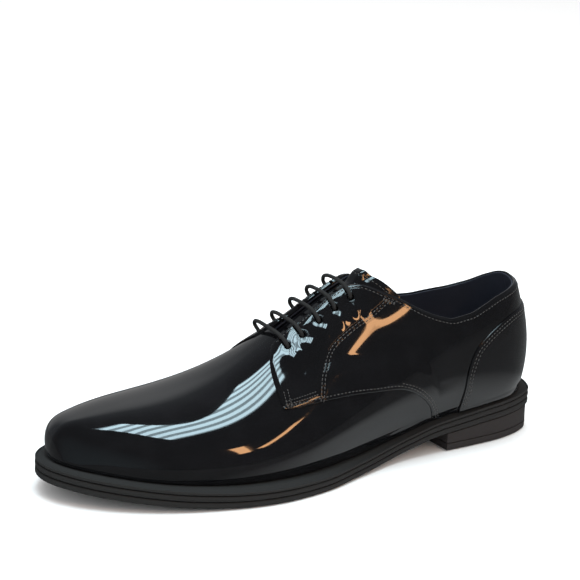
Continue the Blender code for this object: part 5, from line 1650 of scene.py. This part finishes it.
@dataclass
class Studio:
    """Pale floor, soft lights and the camera."""

    camera_at: tuple[float, float, float] = (-0.43414, -0.68853, 0.32548)
    yaw: float = -31.520
    pitch: float = 15.794
    roll: float = 2.452
    lens: float = 96.953
    floor_r: float = 6.0
    oval_scale: tuple[float, float, float] = (9.5, 10.0, 0.0)
    oval_shift: tuple[float, float, float] = (-0.6, 0.0, 0.0)
    oval_edge: tuple[float, float] = (0.85, 1.5)
    oval_shine: tuple[float, float] = (0.40, 0.08)
    room_tones: tuple[tuple[float, Colour], ...] = (
        (0.55, (0.10, 0.105, 0.115)), (0.74, (0.13, 0.14, 0.15)), (0.85, (0.32, 0.33, 0.34)),
    )
    pale_side: tuple[float, float, float] = (0.3, 0.95, 0.0)
    cool_side: tuple[float, float, float] = (-0.86, -0.51, 0.0)
    bank_centre: tuple[float, float, float] = (-0.04, -0.01, 1.5)
    bank_turn: float = 0.64
    tube_count: int = 6
    tube_length: float = 0.50
    tube_width: float = 0.07
    tube_pitch: float = 0.13
    tube_glow: float = 9.0
    diffuser_glow: float = 4.0
    cool: Colour = (0.66, 0.90, 1.0)
    warm: Colour = (1.0, 0.52, 0.24)

    def camera(self) -> None:
        """Makes the scene's camera."""
        yaw, pitch, roll = (math.radians(a) for a in (self.yaw, self.pitch, self.roll))
        ahead = Vector((-math.sin(yaw) * math.cos(pitch), math.cos(yaw) * math.cos(pitch), -math.sin(pitch)))
        right = ahead.cross(Vector((0, 0, 1))).normalized()
        up = right.cross(ahead)
        x_axis = right * math.cos(roll) + up * math.sin(roll)
        y_axis = up * math.cos(roll) - right * math.sin(roll)
        data = bpy.data.cameras.new("camera")
        data.lens, data.sensor_width, data.clip_start, data.clip_end = self.lens, 36.0, 0.01, 20.0
        camera = linked("camera", data)
        turn = Matrix((x_axis, y_axis, -ahead)).transposed().to_4x4()
        camera.matrix_world = Matrix.Translation(self.camera_at) @ turn
        bpy.context.scene.camera = camera

    def floor(self) -> None:
        """Makes the floor: even to the camera, in reflections a painted pool of light that darkens outwards."""
        angle = np.linspace(0, 2 * np.pi, 64, endpoint=False)
        mesh = bpy.data.meshes.new("floor")
        points = [(self.floor_r * math.cos(a), self.floor_r * math.sin(a), 0.0) for a in angle]
        mesh.from_pydata(points, [], [tuple(range(64))])
        material = bpy.data.materials.new("floor_paper")
        material.use_nodes = True
        graph = Graph(material.node_tree)
        shader = material.node_tree.nodes["Principled BSDF"]
        shader.inputs["Roughness"].default_value = 0.9
        shader.inputs["Specular IOR Level"].default_value = 0.1
        place = graph.add("ShaderNodeTexCoord").outputs["Object"]
        # Painted light: for reflected rays the floor's colour is lighter near the shoe and darker farther out.
        oval = graph.add("ShaderNodeVectorMath", {0: place, 1: self.oval_scale, 2: self.oval_shift},
                         operation="MULTIPLY_ADD").outputs["Vector"]
        length = graph.add("ShaderNodeVectorMath", {0: oval}, operation="LENGTH").outputs["Value"]
        spans = dict(enumerate((*self.oval_edge, *self.oval_shine), 1))
        near = graph.add("ShaderNodeMapRange", {"Value": length, **spans})
        glossy = graph.add("ShaderNodeLightPath").outputs["Is Glossy Ray"]
        shade = graph.add("ShaderNodeMix", {"Factor": glossy, 2: 1.0, 3: near.outputs[0]}, data_type="FLOAT")
        tone = graph.add("ShaderNodeVectorMath", {0: (0.9, 0.9, 0.9), "Scale": shade.outputs[0]}, operation="SCALE")
        graph.tree.links.new(tone.outputs[0], shader.inputs["Base Color"])
        mesh.materials.append(material)
        linked("floor", mesh)

    def world(self) -> None:
        """Makes the surroundings: white, and in reflections a dim room that is paler behind."""
        world = bpy.data.worlds.new("room")
        world.use_nodes = True
        bpy.context.scene.world = world
        graph = Graph(world.node_tree)
        shader = world.node_tree.nodes["Background"]
        direction = graph.add("ShaderNodeTexCoord").outputs["Generated"]
        toward = graph.add("ShaderNodeVectorMath", {0: direction, 1: self.pale_side}, operation="DOT_PRODUCT")
        room = graph.add("ShaderNodeValToRGB", {"Fac": toward.outputs["Value"]})
        ramp = room.color_ramp
        ramp.elements[0].position, ramp.elements[0].color = 0.0, (0.06, 0.06, 0.062, 1)
        ramp.elements[1].position, ramp.elements[1].color = 1.0, (0.33, 0.33, 0.33, 1)
        for place, tone in self.room_tones:
            ramp.elements.new(place).color = (*tone, 1)
        aside = graph.add("ShaderNodeVectorMath", {0: direction, 1: self.cool_side}, operation="DOT_PRODUCT")
        glow = graph.add("ShaderNodeMapRange", {"Value": aside.outputs["Value"], 1: 0.7, 2: 1.0, 3: 0.0, 4: 0.16})
        cool = graph.add("ShaderNodeVectorMath", {0: self.cool, "Scale": glow.outputs[0]}, operation="SCALE")
        tone = graph.add("ShaderNodeVectorMath", {0: room.outputs[0], 1: cool.outputs[0]}, operation="ADD")
        glossy = graph.add("ShaderNodeLightPath").outputs["Is Glossy Ray"]
        mixed = graph.add("ShaderNodeMix", {"Factor": glossy, "A": (1.0, 1.0, 1.0, 1.0), "B": tone.outputs[0]},
                          data_type="RGBA")
        graph.tree.links.new(mixed.outputs["Result"], shader.inputs["Color"])
        shader.inputs["Strength"].default_value = 1.0

    @staticmethod
    def panel(name: str, at: Sequence[float], aim: Sequence[float], size: tuple[float, float], power: float,
              colour: Colour = (1.0, 1.0, 1.0), roll: float = 0.0, mirrored: bool = True) -> None:
        """Hangs a soft light panel.

        Args:
            name: Name of the light.
            at: Its place, in metres.
            aim: Point that it faces.
            size: Its width and height.
            power: Its power in watts.
            colour: Its colour.
            roll: Turn about its own axis, in degrees.
            mirrored: Whether it shows in reflections.
        """
        data = bpy.data.lights.new(name, "AREA")
        data.shape, data.size, data.size_y = "RECTANGLE", size[0], size[1]
        data.energy, data.color = power, colour
        light = linked(name, data)
        light.visible_glossy = mirrored
        turn = (Vector(aim) - Vector(at)).to_track_quat("-Z", "Y").to_matrix().to_4x4()
        light.matrix_world = Matrix.Translation(at) @ turn @ Matrix.Rotation(math.radians(roll), 4, "Z")

    def overhead(self, name: str, shift: float, rise: float, size: tuple[float, float], glow: float) -> None:
        """Hangs one light of the cool bank overhead, facing straight down.

        Args:
            name: Name of the light.
            shift: Distance from the middle of the bank, across the tubes.
            rise: Height over the tubes.
            size: Its length and width.
            glow: Its radiance.
        """
        x, y, z = self.bank_centre
        at = (x - shift * math.sin(self.bank_turn), y + shift * math.cos(self.bank_turn), z + rise)
        power = glow * math.pi * size[0] * size[1]
        self.panel(name, at, (at[0], at[1], 0.0), size, power, self.cool, math.degrees(self.bank_turn))

    def lights(self) -> None:
        """Hangs the lights."""
        for k in range(self.tube_count):
            shift = (k - (self.tube_count - 1) / 2) * self.tube_pitch
            self.overhead(f"tube_{k + 1}", shift, 0.0, (self.tube_length, self.tube_width), self.tube_glow)
        span = self.tube_count * self.tube_pitch
        self.overhead("diffuser", 0.0, 0.02, (self.tube_length, span), self.diffuser_glow)
        self.panel("ceiling", (0.1, 0.3, 2.2), (0, 0, 0), (2.4, 2.0), 30.0, mirrored=False)
        self.panel("warm_card", (0.30, -0.86, 0.69), (0.0, -0.03, 0.05), (0.27, 0.055), 0.56, self.warm, 45.0)
        self.panel("warm_strip", (0.11, -0.83, 0.64), (-0.07, -0.04, 0.03), (0.06, 0.26), 0.6, self.warm)

    def build(self) -> None:
        """Builds the whole set."""
        self.camera()
        self.floor()
        self.world()
        self.lights()
        bpy.context.scene.view_settings.view_transform = "Standard"


def main() -> None:
    """Builds the shoe and its set in order."""
    logging.basicConfig(level=logging.INFO, format="%(message)s")
    Studio().build()
    upper, tongue = Upper(), Tongue()
    upper_pieces = upper.build()
    tongue_pieces = tongue.build()
    Lacing().build()
    Stitching().build(upper, tongue, tongue_pieces[0], upper_pieces[-1])
    Bottom().build()
    dress_cad_nodes()


if __name__ == "__main__":
    main()
